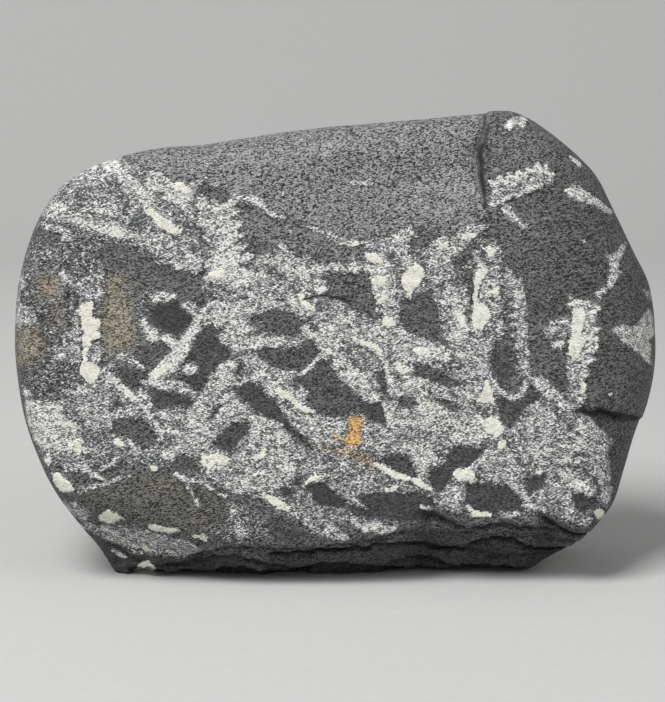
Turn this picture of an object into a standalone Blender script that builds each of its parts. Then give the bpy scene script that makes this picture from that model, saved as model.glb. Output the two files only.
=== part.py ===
"""Graptolite fossil plate: one beach-worn slab of dark shale that stands on its broken foot.

The slab is laid out in its own face frame: u runs right, w runs up the face, and d runs back from the
bedding face. The face leans back by LEAN, and the foot is cut flat at z = 0, where the slab rests.
Outlines and ledges are drawn on a map of the face in millimetres, right and down from the map's corner.
"""

import math

import bpy
import numpy as np

MM = 0.001

# The slab's driving dimensions
LEAN = math.radians(10.0)        # the face leans back by this much
FOOT_THICKNESS = 19.0 * MM       # front to back at the foot
TOP_THICKNESS = 13.5 * MM        # front to back at the top
FACE_HEIGHT = 47.0 * MM          # foot to top, along the face
FOOT_DEPTH = 5.0 * MM            # depth of the front ledges where the face meets the ground

# The map of the face: its middle is u = 0 and w = MAP_MIDDLE_HEIGHT
MAP_MIDDLE = (33.25, 35.1)
MAP_MIDDLE_HEIGHT = 23.2 * MM

# The slab's outline, clockwise from the foot's left corner: map right, map down, worn radius of the front edge
OUTLINE = [
    (10.7, 57.8, 0.6), (9.3, 55.3, 0.8), (7.4, 52.9, 1.2), (5.5, 49.9, 1.8), (3.7, 46.4, 2.2),
    (2.2, 42.4, 2.4), (1.4, 38.0, 2.4), (1.1, 34.0, 2.4), (1.3, 29.5, 2.4), (2.1, 25.4, 2.4),
    (3.6, 21.5, 2.4), (5.7, 18.5, 2.4), (8.3, 16.7, 2.6), (12.0, 15.3, 2.8), (16.0, 14.4, 3.0),
    (19.6, 14.1, 3.4), (24.0, 13.4, 3.8), (29.0, 12.6, 4.0), (36.0, 11.9, 4.0), (43.0, 11.2, 4.0),
    (49.8, 10.6, 3.8), (52.5, 11.0, 4.0), (55.5, 12.8, 4.4), (58.6, 15.3, 5.0), (60.5, 17.4, 5.4),
    (62.1, 20.5, 5.8), (64.3, 24.9, 6.4), (66.1, 28.5, 7.2), (66.8, 33.4, 8.0), (66.7, 37.0, 8.0),
    (65.9, 40.5, 7.6), (64.5, 43.8, 6.6), (63.3, 47.2, 5.2), (61.9, 50.6, 3.2), (59.5, 53.3, 1.6),
    (57.8, 54.8, 1.0), (55.9, 56.2, 0.8), (54.0, 57.5, 0.8), (51.3, 58.9, 0.8), (44.0, 59.2, 0.8),
    (34.0, 59.2, 0.8), (24.0, 59.2, 0.8), (15.0, 59.0, 0.8), (11.4, 58.4, 0.6),
]
FOOT_LEFT, TOP_LEFT, TOP_RIGHT, FOOT_RIGHT = 0, 11, 24, 34   # the outline's four corners, by index

# The foot is chamfered: below this line the face falls away into the ledges
CHAMFER_LINE = [(0.0, 44.0), (6.0, 47.5), (15.0, 50.5), (25.0, 52.6), (34.0, 52.6), (40.0, 51.0),
                (43.0, 50.0), (49.0, 50.8), (55.0, 51.0), (59.5, 52.2), (67.0, 53.5)]
CHAMFER_SLOPES = [(8.0, 0.72), (16.0, 0.60), (26.0, 0.42), (67.0, 0.42)]   # map right, slope
CHAMFER_EASE = 5.0 * MM          # the slope starts over this height

# The broken ends of the layers at the foot: (step back, depth of the open joint, lower edge on the map)
LEDGES = [
    (0.7, 0.8, [(18.0, 55.8), (20.0, 55.3), (23.5, 54.5), (28.0, 54.8), (33.0, 54.5), (37.0, 53.9),
                (38.5, 53.4), (40.0, 53.0), (42.0, 52.8)]),
    (0.9, 1.0, [(41.6, 50.6), (42.8, 50.9), (44.2, 51.4), (45.2, 52.1), (46.8, 52.8), (47.8, 52.6),
                (49.0, 52.3), (50.5, 52.2), (52.0, 52.5), (53.8, 52.7), (55.0, 52.9)]),
    (0.9, 1.3, [(53.4, 50.9), (54.3, 51.3), (55.2, 51.9), (56.2, 52.5), (57.2, 53.1), (58.8, 53.3),
                (60.0, 53.4)]),
    (0.6, 0.5, [(40.0, 53.6), (43.0, 53.1), (46.5, 53.1), (49.0, 53.4), (52.0, 53.2), (55.0, 53.6),
                (57.0, 53.9), (58.2, 54.3)]),
    (1.0, 1.3, [(26.0, 55.4), (30.0, 55.2), (34.0, 54.9), (37.0, 54.6), (40.5, 54.2), (42.5, 54.5),
                (44.5, 54.9), (46.5, 55.0), (47.6, 54.4), (50.0, 53.8), (51.6, 54.0), (52.8, 54.7),
                (54.5, 55.1), (56.6, 55.0)]),
    (0.5, 0.7, [(46.0, 55.0), (48.5, 55.4), (50.5, 55.7), (52.5, 55.8), (54.5, 55.6), (56.0, 55.5)]),
    (0.4, 0.4, [(9.6, 53.8), (11.0, 54.6), (12.0, 55.2), (13.2, 56.0)]),
    (0.4, 0.4, [(15.0, 54.4), (17.0, 54.7), (18.6, 55.2), (20.5, 55.4)]),
    (0.7, 0.9, [(14.5, 56.9), (17.5, 56.6), (20.0, 56.1), (21.5, 55.7), (23.5, 55.7), (25.5, 56.1),
                (27.5, 56.8), (30.0, 57.2)]),
    (0.8, 0.9, [(38.0, 57.2), (39.5, 56.4), (41.0, 56.1), (42.5, 56.0), (43.6, 56.3), (45.0, 56.9),
                (46.0, 57.1), (49.0, 56.9), (50.4, 57.2)]),
    (2.2, 0.6, [(12.0, 57.2), (14.5, 57.3), (16.5, 57.8), (18.5, 57.5), (20.0, 57.8), (22.0, 57.2),
                (24.0, 57.0), (26.0, 57.5), (28.5, 57.6), (30.5, 57.1), (32.0, 56.6), (34.0, 56.5),
                (36.0, 56.8), (38.0, 57.2), (42.0, 57.4), (46.0, 57.5), (50.0, 57.4), (53.0, 57.4)]),
]
LEDGE_FADE = 1.6 * MM            # a layer's end runs out over this length
LEDGE_SHARPNESS = 0.22 * MM      # height over which a step falls
LEDGE_WANDER = [(0.12 * MM, 1.1 * MM, 1.0, 31), (0.12 * MM, 0.45 * MM, 1.0, 33)]   # how raggedly an edge runs
JOINT_HEIGHT = 0.40 * MM         # how soon the rock comes forward again under an open joint

# The smooth spalled hollow at the top of the face: its lower lip, and the step that ends it on the right
HOLLOW_LIP = [(14.0, 14.0), (18.0, 16.8), (20.5, 18.4), (24.0, 20.0), (28.5, 21.8), (33.0, 23.6), (37.0, 24.3),
              (40.0, 23.8), (44.0, 22.6), (48.0, 21.2), (50.0, 20.6)]
HOLLOW_STEP = [(49.6, 9.0), (49.0, 12.2), (48.3, 14.0), (48.1, 16.0), (48.2, 18.0), (48.6, 20.0), (49.0, 21.0)]
HOLLOW_DEPTH = 1.7 * MM
HOLLOW_REACH = 16.0 * MM         # the hollow deepens towards the step over this length
HOLLOW_RISE = 7.0 * MM           # and up from its lip over this height
HOLLOW_SHARE = 0.30              # how deep it is, of the full depth, far from the step
STEP_WIDTH = 0.35 * MM
STEP_JOINT = (0.5 * MM, 0.6 * MM)  # the open joint along the step: depth and width

# The last fossil layer ends in a tongue on the right: its edge, top to bottom
TONGUE_EDGE = [(57.0, 41.0), (59.0, 41.8), (59.8, 42.8), (60.6, 43.3), (61.7, 44.1), (61.1, 44.6), (60.8, 45.5),
               (60.9, 46.8), (61.2, 47.8), (61.1, 49.0), (61.2, 50.0), (60.9, 51.0), (60.4, 51.5), (59.8, 52.0),
               (59.3, 52.7), (58.6, 53.6)]
TONGUE_STEP = 0.9 * MM
TONGUE_START = 2.5 * MM          # the step grows over this length from its left end

# The layer above the lost one ends in a crack, from the tongue to the slab's right side
RIGHT_CRACK = [(57.0, 40.7), (60.0, 41.0), (61.2, 41.3), (62.4, 41.7), (64.2, 41.8), (67.0, 42.3)]
RIGHT_JOINT = 0.6                # depth of the open joint under it, in millimetres
OFF_THE_SLAB = 1.0               # a place well past every edge, in metres

# The back thins upwards: partly by its slope, partly in terraces where layers have split off
BACK_SPLIT = 3.2 * MM            # lost in terraces between the foot and the top
BACK_RELIEF = [(1.1 * MM, 19.0 * MM, 12.0 * MM, 43), (0.30 * MM, 5.0 * MM, 4.0 * MM, 47)]
TERRACE = 1.0 * MM               # the thickness of one layer
TERRACE_EDGE = 0.16              # the share of the relief that a layer's broken edge takes
BACK_ROUND = 2.8 * MM            # least worn radius round the back face
BACK_ROUND_SHARE = 0.40          # and its share of the front edge's radius

# The sides show the bedding: (depth behind the face, how far the layer behind it stands out)
SIDE_LAYERS = [(3.2, -0.32), (5.0, 0.30), (6.8, -0.34), (8.4, 0.36), (10.3, -0.38), (12.2, 0.40), (14.4, -0.32)]
SIDE_LAYER_EDGE = 0.5 * MM
SIDE_WANDER = [(0.7 * MM, 9.0 * MM, 1.0, 23)]    # how far a layer's depth wanders along the side
SIDE_STRENGTH = [(0.4, 6.0 * MM, 1.0, 37)]       # how much its step varies
SIDE_GROOVE = 0.22 * MM          # the joint between two layers
SIDE_BULGE = 0.15 * MM           # how far the worn sides swell between front and back

# Low relief, as (height, length across, length up, seed), from random values on a lattice
LATTICE = 64
FACE_DEPTH = 0.25 * MM
FACE_LUMPS = [(0.22 * MM, 9.0 * MM, 7.0 * MM, 3), (0.08 * MM, 3.2 * MM, 2.6 * MM, 5)]
BACK_LUMPS = [(0.40 * MM, 11.0 * MM, 8.0 * MM, 11), (0.14 * MM, 4.0 * MM, 3.0 * MM, 13)]
SIDE_LUMPS = [(0.25 * MM, 5.0 * MM, 5.0 * MM, 29)]

# How finely the shape is first drawn, and how far it is then thinned
FACE_COLUMNS, FACE_ROWS, SIDE_ROWS = 180, 140, 24
SIDE_CROWD = (5.0, 0.035)        # how much closer the columns and rows lie at a worn edge, and how far in
FOOT_CROWD = (3.0, 0.16)         # the rows over the ledges
POINTS_PER_SPAN = 12
KEPT_SHARE = 0.068
CUTTER_SIZE = (0.10, 0.06, 0.006)

SHALE_COLOUR = (0.052, 0.050, 0.048, 1.0)
SHALE_ROUGHNESS = 0.75


def on_face(points):
    """Map millimetres, right and down, as (u, w) in metres."""
    p = np.array(points, float)[:, :2]
    return np.stack([(p[:, 0] - MAP_MIDDLE[0]) * MM, MAP_MIDDLE_HEIGHT - (p[:, 1] - MAP_MIDDLE[1]) * MM], 1)


def closed_curve(points, per_span):
    """A closed Catmull-Rom curve through points, with per_span samples from each point to the next."""
    p = np.asarray(points, float)
    before, after, beyond = np.roll(p, 1, 0), np.roll(p, -1, 0), np.roll(p, -2, 0)
    t = (np.arange(per_span) / per_span)[None, :, None]
    a, b, c, d = (x[:, None, :] for x in (before, p, after, beyond))
    curve = 0.5 * (2 * b + (c - a) * t + (2 * a - 5 * b + 4 * c - d) * t**2 + (3 * b - a - 3 * c + d) * t**3)
    return curve.reshape(-1, p.shape[1])


def lattice_noise(x, y, seed):
    """Smooth noise from -1 to 1: random values on a unit lattice, eased between the lattice's points."""
    rng = np.random.default_rng(seed)
    table = rng.uniform(-1, 1, (LATTICE, LATTICE))
    i, j = np.floor(x).astype(int), np.floor(y).astype(int)
    fx, fy = x - i, y - j
    fx, fy = fx * fx * (3 - 2 * fx), fy * fy * (3 - 2 * fy)
    i, right, j, above = i % LATTICE, (i + 1) % LATTICE, j % LATTICE, (j + 1) % LATTICE
    low = table[i, j] * (1 - fx) + table[right, j] * fx
    high = table[i, above] * (1 - fx) + table[right, above] * fx
    return low * (1 - fy) + high * fy


def lumps(x, y, layers):
    """Low relief: the sum of the layers, each given as (height, length across, length up, seed)."""
    return sum(height * lattice_noise(x / across, y / up, seed) for height, across, up, seed in layers)


def smooth(x):
    """Eases from 0 to 1 as x goes from 0 to 1."""
    t = np.clip(x, 0, 1)
    return t * t * (3 - 2 * t)


def spread(count, start, end):
    """count + 1 places from 0 to 1, closer together at each end by the (times, reach) given for it."""
    place = np.linspace(0, 1, 40 * count + 1)
    crowd = 1 + start[0] * np.exp(-(place / start[1])**2) + end[0] * np.exp(-((1 - place) / end[1])**2)
    total = np.concatenate([[0], np.cumsum((crowd[1:] + crowd[:-1]) / 2)])
    return np.interp(np.linspace(0, total[-1], count + 1), total, place)


def along(curve, shares):
    """Points of an open polyline at the given shares of its length."""
    lengths = np.concatenate([[0], np.cumsum(np.linalg.norm(np.diff(curve[:, :2], axis=0), axis=1))])
    return np.stack([np.interp(shares * lengths[-1], lengths, curve[:, k]) for k in range(curve.shape[1])], 1)


def outline_sides(columns, rows):
    """The outline's foot, right, top and left sides, from corner to corner, as (u, w, worn radius)."""
    knots = np.concatenate([on_face(OUTLINE), np.array(OUTLINE)[:, 2:] * MM], 1)
    curve = closed_curve(knots, POINTS_PER_SPAN)
    ring = np.concatenate([curve, curve[:1]])
    cut = [k * POINTS_PER_SPAN for k in (FOOT_LEFT, TOP_LEFT, TOP_RIGHT, FOOT_RIGHT)]
    left, top = ring[cut[0]:cut[1] + 1], ring[cut[1]:cut[2] + 1]
    right, foot = ring[cut[2]:cut[3] + 1][::-1], ring[cut[3]:][::-1]
    across, up = spread(columns, SIDE_CROWD, SIDE_CROWD), spread(rows, FOOT_CROWD, SIDE_CROWD)
    return along(foot, across), along(right, up), along(top, across), along(left, up), curve


def coons_patch(foot, right, top, left):
    """The surface between four sides: each point blends the sides it lies between, less the corners."""
    a = np.linspace(0, 1, len(foot))[None, :, None]
    b = np.linspace(0, 1, len(left))[:, None, None]
    ruled = (1 - b) * foot[None] + b * top[None] + (1 - a) * left[:, None] + a * right[:, None]
    corners = ((1 - a) * (1 - b) * foot[0] + a * (1 - b) * foot[-1] + (1 - a) * b * top[0] + a * b * top[-1])
    return ruled - corners


def to_outline(u, w, curve):
    """Each point's distance to the outline, and the worn radius of the outline's nearest point."""
    start, end = curve[:, :2], np.roll(curve[:, :2], -1, 0)
    best = np.full(u.shape, np.inf)
    radius = np.zeros(u.shape)
    for p, q, r in zip(start, end, curve[:, 2]):
        run = q - p
        t = np.clip(((u - p[0]) * run[0] + (w - p[1]) * run[1]) / (run @ run), 0, 1)
        away = np.hypot(u - p[0] - t * run[0], w - p[1] - t * run[1])
        nearer = away < best
        best = np.where(nearer, away, best)
        radius = np.where(nearer, r, radius)
    return best, radius


def worn_edge(distance, radius):
    """How far a quarter-round edge has fallen back, at a distance in from the outline."""
    x = np.clip(1 - distance / radius, 0, 1)
    return radius * (1 - np.sqrt(1 - x * x))


def height_of(points, u):
    """The height of a line drawn on the map from left to right, at each u."""
    line = on_face(points)
    return np.interp(u, line[:, 0], line[:, 1])


def foot_depth(u, w):
    """The chamfered foot: a slope, and the broken layers stepping back under the face."""
    below = np.maximum(height_of(CHAMFER_LINE, u) - w, 0)
    slopes = np.array(CHAMFER_SLOPES)
    slope = np.interp(u / MM + MAP_MIDDLE[0], slopes[:, 0], slopes[:, 1])
    depth = slope * below * smooth(below / CHAMFER_EASE)
    for number, (step, joint, edge) in enumerate(LEDGES):
        line = on_face(edge)
        under = height_of(edge, u) + lumps(u, np.full_like(u, number), LEDGE_WANDER) - w
        inside = smooth((u - line[0, 0]) / LEDGE_FADE) * smooth((line[-1, 0] + LEDGE_FADE - u) / LEDGE_FADE)
        crevice = np.exp(-np.maximum(under, 0) / JOINT_HEIGHT) * joint * MM
        depth += inside * smooth(under / LEDGE_SHARPNESS) * (step * MM + crevice)
    return depth


def hollow_depth(u, w):
    """The smooth hollow: it deepens from its lip up the face, and from the left towards the step."""
    above = w - height_of(HOLLOW_LIP, u)
    step = on_face(HOLLOW_STEP)
    before_step = np.interp(-w, -step[:, 1], step[:, 0]) - u
    share = HOLLOW_SHARE + (1 - HOLLOW_SHARE) * smooth(1 - before_step / HOLLOW_REACH)
    joint_depth, joint_width = STEP_JOINT
    joint = joint_depth * np.exp(-np.maximum(before_step, 0) / joint_width)
    return smooth(above / HOLLOW_RISE) * smooth(before_step / STEP_WIDTH) * (HOLLOW_DEPTH * share + joint)


def tongue_depth(u, w):
    """The lower layer between the tongue's edge and the crack above it."""
    edge = on_face(TONGUE_EDGE)
    past_edge = u - np.interp(-w, -edge[:, 1], edge[:, 0], left=OFF_THE_SLAB, right=OFF_THE_SLAB)
    under = height_of(RIGHT_CRACK, u) - w
    grown = smooth((u - edge[0, 0]) / TONGUE_START)
    joint = RIGHT_JOINT * MM * np.exp(-np.maximum(under, 0) / JOINT_HEIGHT)
    return grown * smooth(past_edge / STEP_WIDTH) * smooth(under / LEDGE_SHARPNESS) * (TONGUE_STEP + joint)


def front_depth(u, w, distance, radius):
    """How far the front surface lies behind the bedding face."""
    depth = FACE_DEPTH + lumps(u, w, FACE_LUMPS) + foot_depth(u, w) + hollow_depth(u, w) + tongue_depth(u, w)
    return depth + worn_edge(distance, radius)


def terraces(height):
    """A height cut into whole layers: flat for most of each layer, then a steep broken edge up to the next."""
    layers = height / TERRACE
    whole = np.floor(layers)
    return TERRACE * (whole + smooth((layers - whole - 1 + TERRACE_EDGE) / TERRACE_EDGE))


def back_depth(u, w, distance, radius):
    """How far the back surface lies behind the bedding face: it thins upwards, less the layers it has lost."""
    share = np.clip(w / FACE_HEIGHT, 0, 1)
    taper = FOOT_THICKNESS - TOP_THICKNESS - BACK_SPLIT
    depth = FOOT_THICKNESS - taper * share + lumps(u, w, BACK_LUMPS)
    depth -= terraces(BACK_SPLIT * share + lumps(u, w, BACK_RELIEF))
    return depth - worn_edge(distance, BACK_ROUND + BACK_ROUND_SHARE * radius)


def side_swell(place, depth):
    """How far the side stands out, from its place along the outline and its depth: layers, joints, lumps."""
    out = lumps(place, depth, SIDE_LUMPS)
    for number, (start, stand) in enumerate(SIDE_LAYERS):
        layer = np.full_like(place, number)
        past = depth - start * MM - lumps(place, layer, SIDE_WANDER)
        strength = 0.6 + lumps(place, layer, SIDE_STRENGTH)
        out += stand * strength * MM * smooth(past / SIDE_LAYER_EDGE)
        out -= SIDE_GROOVE * np.exp(-(past / SIDE_LAYER_EDGE)**2)
    return SIDE_BULGE + out


def ring_of(grid):
    """The grid's rim, counter-clockwise from its first corner."""
    return np.concatenate([grid[0, :-1], grid[:-1, -1], grid[-1, :0:-1], grid[:0:-1, 0]])


def slab_surface():
    """The slab's points in the face frame (u, w, d) and its quads, before it is leaned and cut."""
    foot, right, top, left, curve = outline_sides(FACE_COLUMNS, FACE_ROWS)
    sheet = coons_patch(foot, right, top, left)
    u, w = sheet[..., 0], sheet[..., 1]
    distance, radius = to_outline(u, w, curve)
    front = np.stack([u, w, front_depth(u, w, distance, radius)], -1)
    back = np.stack([u, w, back_depth(u, w, distance, radius)], -1)

    front_ring, back_ring = ring_of(front), ring_of(back)
    run = np.roll(front_ring, -1, 0) - np.roll(front_ring, 1, 0)
    outward = np.stack([run[:, 1], -run[:, 0]], 1) / np.hypot(run[:, 0], run[:, 1])[:, None]
    place = np.cumsum(np.hypot(run[:, 0], run[:, 1])) / 2
    rings = []
    for row in range(1, SIDE_ROWS):
        share = row / SIDE_ROWS
        ring = front_ring * (1 - share) + back_ring * share
        swell = side_swell(place, ring[:, 2]) * math.sin(math.pi * share) ** 0.5
        ring[:, :2] += outward * swell[:, None]
        rings.append(ring)

    points = np.concatenate([front.reshape(-1, 3), back.reshape(-1, 3), *rings])
    index = np.arange(front[..., 0].size).reshape(front.shape[:2])
    behind = index + index.size
    quads = [grid_quads(index), grid_quads(behind)[:, ::-1]]
    loops = [ring_of(index)]
    loops += [2 * index.size + k * len(front_ring) + np.arange(len(front_ring)) for k in range(SIDE_ROWS - 1)]
    loops.append(ring_of(behind))
    for near, far in zip(loops, loops[1:]):
        quads.append(np.stack([near, far, np.roll(far, -1), np.roll(near, -1)], 1))
    return points, np.concatenate(quads)


def grid_quads(index):
    """The quads of a grid of point numbers."""
    parts = [index[:-1, :-1], index[:-1, 1:], index[1:, 1:], index[1:, :-1]]
    return np.stack([p.reshape(-1) for p in parts], 1)


def stand_up(points):
    """Face frame to world: the face leans back, and the ledges' foot comes to z = 0."""
    u, w, d = points.T
    y = w * math.sin(LEAN) + d * math.cos(LEAN)
    z = w * math.cos(LEAN) - (d - FOOT_DEPTH) * math.sin(LEAN)
    world = np.stack([u, y, z], 1)
    shown = world[world[:, 2] >= 0]
    middle = (shown.min(0) + shown.max(0)) / 2
    world[:, :2] -= middle[:2]
    return world


def shale_material():
    material = bpy.data.materials.new("shale")
    material.use_nodes = True
    shader = material.node_tree.nodes["Principled BSDF"]
    shader.inputs["Base Color"].default_value = SHALE_COLOUR
    shader.inputs["Roughness"].default_value = SHALE_ROUGHNESS
    shader.inputs["Metallic"].default_value = 0.0
    return material


def ground_cutter():
    """A block below the ground, which cuts the foot flat."""
    bpy.ops.mesh.primitive_cube_add(size=1.0, location=(0, 0, -CUTTER_SIZE[2] / 2))
    cutter = bpy.context.object
    cutter.name = "ground_cutter"
    cutter.scale = CUTTER_SIZE
    cutter.hide_render = True
    cutter.display_type = "WIRE"
    return cutter


def fossil_plate():
    """The slab as one closed mesh, thinned where it is plain and cut flat where it stands."""
    points, quads = slab_surface()
    mesh = bpy.data.meshes.new("fossil_plate")
    mesh.from_pydata(stand_up(points).tolist(), [], quads.tolist())
    mesh.update()
    mesh.shade_smooth()
    plate = bpy.data.objects.new("fossil_plate", mesh)
    bpy.context.scene.collection.objects.link(plate)
    mesh.materials.append(shale_material())

    thin = plate.modifiers.new("thin", "DECIMATE")
    thin.ratio = KEPT_SHARE
    cut = plate.modifiers.new("stand_flat", "BOOLEAN")
    cut.operation = "DIFFERENCE"
    cut.solver = "EXACT"
    cut.object = ground_cutter()
    return plate


def main():
    for thing in list(bpy.data.objects):
        bpy.data.objects.remove(thing)
    fossil_plate()


main()
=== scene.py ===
"""Graptolite fossil plate: the slab's fine surface, its fossil films, its shale, and the stage it stands on.

The slab is worked out in its own face frame: u runs right, w runs up the face, and d runs back from the
bedding face. The fossil films are laid out on a map of the face in millimetres, right and down, which shows
the face as it is seen from VIEW_DISTANCE in front of it.
"""

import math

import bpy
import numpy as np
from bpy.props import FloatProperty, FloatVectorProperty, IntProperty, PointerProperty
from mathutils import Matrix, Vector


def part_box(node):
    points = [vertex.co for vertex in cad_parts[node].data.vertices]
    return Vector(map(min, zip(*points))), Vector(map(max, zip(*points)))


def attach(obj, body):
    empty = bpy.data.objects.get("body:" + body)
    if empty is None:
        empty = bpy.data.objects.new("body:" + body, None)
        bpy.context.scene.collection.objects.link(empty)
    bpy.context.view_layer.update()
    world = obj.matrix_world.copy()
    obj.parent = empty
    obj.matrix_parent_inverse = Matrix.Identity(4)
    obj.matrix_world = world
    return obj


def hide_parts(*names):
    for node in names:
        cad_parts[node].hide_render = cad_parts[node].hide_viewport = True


bl_info = {
    "name": "Graptolite Fossil Plate",
    "version": (1, 0, 0),
    "blender": (4, 5, 0),
    "location": "3D View > Sidebar > Fossil Plate",
    "description": "Builds a slab of dark shale with silvery graptolite films on its face",
    "category": "Add Mesh",
}

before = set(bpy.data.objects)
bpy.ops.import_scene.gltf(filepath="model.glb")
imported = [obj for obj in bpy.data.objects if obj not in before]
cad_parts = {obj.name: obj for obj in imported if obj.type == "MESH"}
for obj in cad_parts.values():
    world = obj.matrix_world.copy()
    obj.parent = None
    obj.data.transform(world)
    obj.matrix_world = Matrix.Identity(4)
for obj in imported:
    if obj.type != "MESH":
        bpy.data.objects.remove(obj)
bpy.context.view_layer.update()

NODE = "fossil_plate"
MM = 0.001

# The slab's driving dimensions, as in the solid
LEAN = math.radians(10.0)        # the face leans back by this much
FOOT_THICKNESS = 19.0 * MM
TOP_THICKNESS = 13.5 * MM
FACE_HEIGHT = 47.0 * MM
FOOT_DEPTH = 5.0 * MM            # depth of the front ledges where the face meets the ground

# The map of the face: its middle is u = 0 and w = MAP_MIDDLE_HEIGHT
MAP_MIDDLE = (33.25, 35.1)
MAP_MIDDLE_HEIGHT = 23.2 * MM
VIEW_DISTANCE = 195.0 * MM
MAP_SPAN = 70.2 * MM             # what the view takes in, top to bottom, at the bedding face

# The slab's outline, clockwise from the foot's left corner: (map right, map down, the edge's worn radius)
OUTLINE = [
    (10.7, 57.8, 0.6), (9.3, 55.3, 0.8), (7.4, 52.9, 1.2), (5.5, 49.9, 1.8), (3.7, 46.4, 2.2),
    (2.2, 42.4, 2.4), (1.4, 38.0, 2.4), (1.1, 34.0, 2.4), (1.3, 29.5, 2.4), (2.1, 25.4, 2.4),
    (3.6, 21.5, 2.4), (5.7, 18.5, 2.4), (8.3, 16.7, 2.6), (12.0, 15.3, 2.8), (16.0, 14.4, 3.0),
    (19.6, 14.1, 3.4), (24.0, 13.4, 3.8), (29.0, 12.6, 4.0), (36.0, 11.9, 4.0), (43.0, 11.2, 4.0),
    (49.8, 10.6, 3.8), (52.5, 11.0, 4.0), (55.5, 12.8, 4.4), (58.6, 15.3, 5.0), (60.5, 17.4, 5.4),
    (62.1, 20.5, 5.8), (64.3, 24.9, 6.4), (66.1, 28.5, 7.2), (66.8, 33.4, 8.0), (66.7, 37.0, 8.0),
    (65.9, 40.5, 7.6), (64.5, 43.8, 6.6), (63.3, 47.2, 5.2), (61.9, 50.6, 3.2), (59.5, 53.3, 1.6),
    (57.8, 54.8, 1.0), (55.9, 56.2, 0.8), (54.0, 57.5, 0.8), (51.3, 58.9, 0.8), (44.0, 59.2, 0.8),
    (34.0, 59.2, 0.8), (24.0, 59.2, 0.8), (15.0, 59.0, 0.8), (11.4, 58.4, 0.6),
]
FOOT_LEFT, TOP_LEFT, TOP_RIGHT, FOOT_RIGHT = 0, 11, 24, 34   # the outline's four corners, by index

# The foot is chamfered: below this line the face falls away into the ledges
CHAMFER_LINE = [(0.0, 44.0), (6.0, 47.5), (15.0, 50.5), (25.0, 52.6), (34.0, 52.6), (40.0, 51.0),
                (43.0, 50.0), (49.0, 50.8), (55.0, 51.0), (59.5, 52.2), (67.0, 53.5)]
CHAMFER_SLOPES = [(8.0, 0.72), (16.0, 0.60), (26.0, 0.42), (67.0, 0.42)]   # map right, slope
CHAMFER_EASE = 5.0 * MM

# The broken ends of the layers at the foot: (step back, depth of the open joint, lower edge on the map)
LEDGES = [
    (0.7, 0.8, [(18.0, 55.8), (20.0, 55.3), (23.5, 54.5), (28.0, 54.8), (33.0, 54.5), (37.0, 53.9),
                (38.5, 53.4), (40.0, 53.0), (42.0, 52.8)]),
    (0.9, 1.0, [(41.6, 50.6), (42.8, 50.9), (44.2, 51.4), (45.2, 52.1), (46.8, 52.8), (47.8, 52.6),
                (49.0, 52.3), (50.5, 52.2), (52.0, 52.5), (53.8, 52.7), (55.0, 52.9)]),
    (0.9, 1.3, [(53.4, 50.9), (54.3, 51.3), (55.2, 51.9), (56.2, 52.5), (57.2, 53.1), (58.8, 53.3),
                (60.0, 53.4)]),
    (0.6, 0.5, [(40.0, 53.6), (43.0, 53.1), (46.5, 53.1), (49.0, 53.4), (52.0, 53.2), (55.0, 53.6),
                (57.0, 53.9), (58.2, 54.3)]),
    (1.0, 1.3, [(26.0, 55.4), (30.0, 55.2), (34.0, 54.9), (37.0, 54.6), (40.5, 54.2), (42.5, 54.5),
                (44.5, 54.9), (46.5, 55.0), (47.6, 54.4), (50.0, 53.8), (51.6, 54.0), (52.8, 54.7),
                (54.5, 55.1), (56.6, 55.0)]),
    (0.5, 0.7, [(46.0, 55.0), (48.5, 55.4), (50.5, 55.7), (52.5, 55.8), (54.5, 55.6), (56.0, 55.5)]),
    (0.4, 0.4, [(9.6, 53.8), (11.0, 54.6), (12.0, 55.2), (13.2, 56.0)]),
    (0.4, 0.4, [(15.0, 54.4), (17.0, 54.7), (18.6, 55.2), (20.5, 55.4)]),
    (0.7, 0.9, [(14.5, 56.9), (17.5, 56.6), (20.0, 56.1), (21.5, 55.7), (23.5, 55.7), (25.5, 56.1),
                (27.5, 56.8), (30.0, 57.2)]),
    (0.8, 0.9, [(38.0, 57.2), (39.5, 56.4), (41.0, 56.1), (42.5, 56.0), (43.6, 56.3), (45.0, 56.9),
                (46.0, 57.1), (49.0, 56.9), (50.4, 57.2)]),
    (2.2, 0.6, [(12.0, 57.2), (14.5, 57.3), (16.5, 57.8), (18.5, 57.5), (20.0, 57.8), (22.0, 57.2),
                (24.0, 57.0), (26.0, 57.5), (28.5, 57.6), (30.5, 57.1), (32.0, 56.6), (34.0, 56.5),
                (36.0, 56.8), (38.0, 57.2), (42.0, 57.4), (46.0, 57.5), (50.0, 57.4), (53.0, 57.4)]),
]
LEDGE_FADE = 1.6 * MM
LEDGE_SHARPNESS = 0.22 * MM
LEDGE_WANDER = [(0.12 * MM, 1.1 * MM, 1.0, 31), (0.12 * MM, 0.45 * MM, 1.0, 33)]
JOINT_HEIGHT = 0.40 * MM

# The smooth spalled hollow at the top of the face: its lower lip, and the step that ends it on the right
HOLLOW_LIP = [(14.0, 14.0), (18.0, 16.8), (20.5, 18.4), (24.0, 20.0), (28.5, 21.8), (33.0, 23.6),
              (37.0, 24.3), (40.0, 23.8), (44.0, 22.6), (48.0, 21.2), (50.0, 20.6)]
HOLLOW_STEP = [(49.6, 9.0), (49.0, 12.2), (48.3, 14.0), (48.1, 16.0), (48.2, 18.0), (48.6, 20.0),
               (49.0, 21.0)]
HOLLOW_DEPTH = 1.7 * MM
HOLLOW_REACH = 16.0 * MM
HOLLOW_RISE = 7.0 * MM
HOLLOW_SHARE = 0.30
STEP_WIDTH = 0.35 * MM
STEP_JOINT = (0.5 * MM, 0.6 * MM)

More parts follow.
